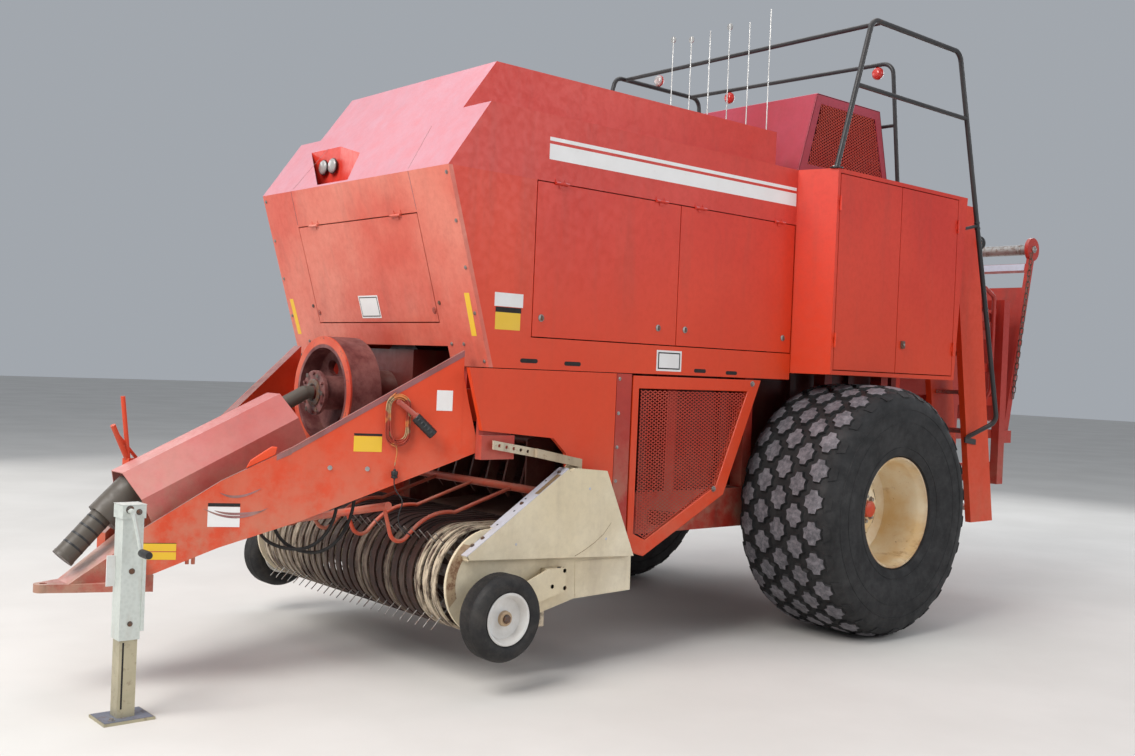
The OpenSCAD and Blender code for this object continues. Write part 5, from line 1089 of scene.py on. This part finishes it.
# Arcs scuffed into the left plate's paint by something that swung there, each through three points
s = Shape()
for (a0, z0), (a1, z1), (a2, z2) in (((1.133, 0.932), (1.048, 0.914), (0.945, 0.954)),
                                     ((1.203, 0.855), (1.056, 0.817), (0.911, 0.862)),
                                     ((1.154, 0.847), (1.057, 0.832), (0.929, 0.849))):
    bend_a, bend_z = 2 * a1 - (a0 + a2) / 2, 2 * z1 - (z0 + z2) / 2
    high, low = [], []
    for i in range(17):
        t = i / 16
        mid = 2 * t * (1 - t)
        a = a0 * (1 - t) ** 2 + bend_a * mid + a2 * t * t
        z = z0 * (1 - t) ** 2 + bend_z * mid + z2 * t * t
        half = 0.0005 + 0.0055 * math.sin(math.pi * t) ** 0.6
        high.append((a, z + half))
        low.append((a, z - half))
    for quad in zip(high, high[1:], low[1:], low):
        tongue_panel(s, 1, quad, 0.0012)
s.done("tongue_scuffs", ("flange",), "machine")
s = Shape()
tongue_panel(s, 1, [(1.020, 1.044), (0.885, 1.113), (0.878, 1.150), (0.905, 1.152), (1.000, 1.085)], -0.012,
             back=-0.046)
edge(s.done("tongue_orange_pad", ("orange",), "machine"), 0.004)
s = Shape()
a, b = tongue(0.236, 0.0603, 1.3175), tongue(0.146, 0.0653, 1.2320)
s.tube([a, a + (b - a) * 0.03, a + (b - a) * 0.97, b], [0.022, 0.0255, 0.0255, 0.020], 16)
for k in range(5):
    s.collar(0.0255, 0.0272, 0.003, 0.001, a + (b - a) * (0.16 + 0.17 * k), b - a, 16)
s.done("lever_grip", ("black_plastic",), "machine", 40)


# ---- jack
def jack(x, y, z):
    """A point given from the jack's middle line."""
    return at(4.414 + x, 0.560 + y, z)


s = Shape()
# Painted shade: a thin dark strip stands in for the slot in the jack's leg.
s.box(jack(0.018, 0.0380, 0.050), jack(0.026, 0.0382, 0.335), 1)
s.done("jack_slot_shade", ("gold", "dark"), "jack_leg")
s = Shape()
s.box(jack(-0.105, -0.085, 0.0122), jack(0.105, 0.085, 0.0140))
s.bolt(jack(0.066, 0.055, 0.0140), (0, 0, 1), 0.010, 0.008, 1)
s.done("jack_foot_top", ("foot", "steel"), "jack_leg")
s = Shape()
for x, y, z, r, h in ((0.020, 0.0505, 0.905, 0.012, 0.010), (-0.020, 0.0505, 0.893, 0.009, 0.008),
                      (0, 0.0455, 0.415, 0.008, 0.006), (0, 0.0455, 0.640, 0.009, 0.006)):
    s.bolt(jack(x, y, z), (0, 1, 0), r, h, 1)
s.lathe([(0.016, 0.0), (0.0175, 0.010), (0.0175, 0.070), (0.015, 0.085), (0.0, 0.085)], jack(-0.010, 0.117, 0.728),
        (0, 1, 0), 16, 2)
s.box(jack(0.0452, -0.030, 0.570), jack(0.082, -0.024, 0.702), 3)
s.box(jack(-0.053, -0.053, 0.924), jack(0.053, 0.053, 0.9252))
s.done("jack_details", ("zinc", "dark_steel", "black_plastic", "white"), "machine", 40)

# ---- driveline guard
s = Shape()
a, b = at(4.290, 0, 0.845), at(4.505, 0, 0.612)
way = (b - a).normalized()
for share in (0.30, 0.46, 0.62, 0.78):
    s.collar(0.0522, 0.0536, 0.006, 0.003, a + (b - a) * share, way, 32)
s.lathe([(0.0522, -0.020), (0.0545, -0.016), (0.0545, 0.0005), (0.046, 0.0005), (0.044, -0.030)], b, way, 32, 1)
s.lathe([(0.044, -0.030), (0.030, -0.030), (0.028, -0.004), (0.0, -0.004)], b, way, 24, 2)
a, b = at(3.295, 0, 1.400), at(4.190, 0, 0.930)
way = (b - a).normalized()
for share in (0.16, 0.19, 0.55, 0.90):
    s.collar(0.0378, 0.0400, 0.010, 0.006, a + (b - a) * share, way, 28)
s.done("drive_guard_rings", ("black_plastic", "drive", "dark_steel"), "machine", 40)

# ---- chute: chains, roller, plates
LEAN = math.radians(12)
ROLLER_Z, SLEEVE_R, HUB_Y = 1.590, 0.0430, 0.6605


def chute(x, y, z):
    """A point given from the chute's hinge, along and across the folded chute."""
    return at(-2.700 + x * math.cos(LEAN) - z * math.sin(LEAN), y, 1.180 + x * math.sin(LEAN) + z * math.cos(LEAN))


top, low = Vector((-2.9706, 0, 2.6753)), Vector((-2.760, 0, 1.420))
down = (low - top).normalized()
link = arc((0, 0.016), 0.0125, 0, 180, 6)
link += [(-u, -v) for u, v in link]
s = Shape()
for side, _ in SIDES:
    y = side * (0.660 + 0.017 * math.cos(math.radians(22.5)))
    for i in range(25):
        q = top + down * i * 0.049
        wide = Vector((0, 1, 0)) if i % 2 else Vector((down.z, 0, -down.x))
        s.loop([at(q.x, y, q.z) + wide * u + down * v for u, v in link], 0.0043, wide.cross(down))
o = s.done("chute_chain_links", ("dark_steel",), "chute", 60)
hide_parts("chute_chains")
s = Shape()
s.lathe([(0.0, -0.628), (SLEEVE_R, -0.628), (SLEEVE_R, 0.628), (0.0, 0.628)], chute(0, 0, ROLLER_Z), (0, 1, 0), 40)
for y in (-0.55, -0.2, 0.2, 0.55):
    s.collar(SLEEVE_R, 0.0445, 0.012, 0.010, chute(0, y, ROLLER_Z), (0, 1, 0), 40)
s.done("chute_roller_sleeve", ("steel",), "chute", 40)
s = Shape()
for x in (-0.0312, 0.0302):
    s.slab(*([chute(x + deep, y, z) for y, z in rect(-0.62, 1.402, 0.62, 1.458)] for deep in (0, 0.001)))
for side, _ in SIDES:
    for z in (0, ROLLER_Z):
        s.lathe([(0.030, 0.0), (0.030, 0.010), (0.022, 0.016), (0.0, 0.016)], chute(0, side * HUB_Y, z), (0, side, 0),
                24, 1)
    # reflector at each end plate
    s.lathe([(0.034, 0.0), (0.034, 0.005), (0.030, 0.007), (0.0, 0.007)], chute(-0.030, side * 0.605, 1.200),
            (-math.cos(LEAN), 0, -math.sin(LEAN)), 24, 2)
s.done("chute_details", ("pale_blue_and_sky_sheen", "steel", "red_lens"), "chute", 40)

# ---- ladder and rails
s = Shape()
for i in range(8):
    z = 0.660 + i * 0.285
    x = ladder_x(z) - 0.150
    for dx in (-0.070, 0, 0.070):
        s.box(at(x + dx - 0.012, 0.752, z + 0.0282), at(x + dx + 0.012, 0.963, z + 0.0305))
    for dx in (-0.0902, 0.0890):
        s.box(at(x + dx, 0.747, z + 0.002), at(x + dx + 0.0012, 0.968, z + 0.026))
s.done("ladder_treads_worn", ("bright",), "machine")
# clamp where the sloping rail passes the platform, and the posts' feet
RAIL_Y = 1.172
s = Shape()
way = (at(-1.640, 0, 1.330) - at(-0.940, 0, 3.855)).normalized()
clamp = at(-0.940 + (-1.640 + 0.940) * (3.855 - 2.705) / (3.855 - 1.330), RAIL_Y, 2.705)
for shift in (-0.020, 0.020):
    s.collar(0.0175, 0.0200, 0.008, 0.007, clamp + way * shift, way, 24)
for side, x in ((1, 0.385), (-1, 0.385), (-1, -0.960)):
    s.lathe([(0.040, 0.0), (0.040, 0.008), (0.018, 0.010)], at(x, side * RAIL_Y, 2.874), (0, 0, 1), 24)
    for dx in (-0.028, 0.028):
        s.bolt(at(x + dx, side * RAIL_Y, 2.882), (0, 0, 1), 0.007, 0.006, 1)
s.done("rail_feet_and_clamp", ("black", "steel"), "machine", 40)

# ---- flywheel's clutch
s = Shape()
for a in circle(6):
    s.bolt(at(3.2581, 0.102 * math.cos(a), 1.400 + 0.102 * math.sin(a)), (1, 0, 0), 0.0085, 0.001)
s.lathe([(0.072, 0.0), (0.072, 0.006), (0.060, 0.010), (0.046, 0.010), (0.040, 0.004)], at(3.2452, 0, 1.400),
        (1, 0, 0), 36)
s.done("clutch_ring", ("dark_steel",), "flywheel", 40)

# ---- light and floor
for name, place, size, power, colour in (("key", (9.0, 1.5, 8.5), (6, 6), 1150, (1.0, 0.98, 0.95)),
                                         ("left", (-3.0, 10.0, 5.0), (8, 5), 300, (0.97, 0.98, 1.0)),
                                         ("over", (-1.0, -2.0, 10.0), (9, 9), 330, (0.95, 0.97, 1.0)),
                                         ("right", (4.0, -10.0, 4.0), (8, 5), 220, (1.0, 0.98, 0.96)),
                                         ("back", (-10.0, -2.0, 5.0), (7, 5), 260, (0.96, 0.98, 1.0))):
    area_light(name, place, size, power, colour)
world = bpy.data.worlds.new("world")
world.use_nodes = True
sky = world.node_tree.nodes["Background"]
sky.inputs["Color"].default_value = (0.86, 0.92, 1.0, 1)
sky.inputs["Strength"].default_value = 0.42
bpy.context.scene.world = world
bpy.context.scene.view_settings.view_transform = "Standard"

floor_mesh = bpy.data.meshes.new("floor")
floor_mesh.from_pydata([(-60, -60, 0), (60, -60, 0), (60, 60, 0), (-60, 60, 0)], [], [(0, 1, 2, 3)])
floor = bpy.data.objects.new("floor", floor_mesh)
bpy.context.scene.collection.objects.link(floor)
floor_mat = Mat("floor", Roughness=0.85)
floor_mat.link("Base Color", floor_mat.mix(floor_mat.span(floor_mat.noise(0.7, 6), 0.3, 0.7), (0.62, 0.60, 0.57),
                                           (0.68, 0.66, 0.63)))
floor_mesh.materials.append(floor_mat.m)
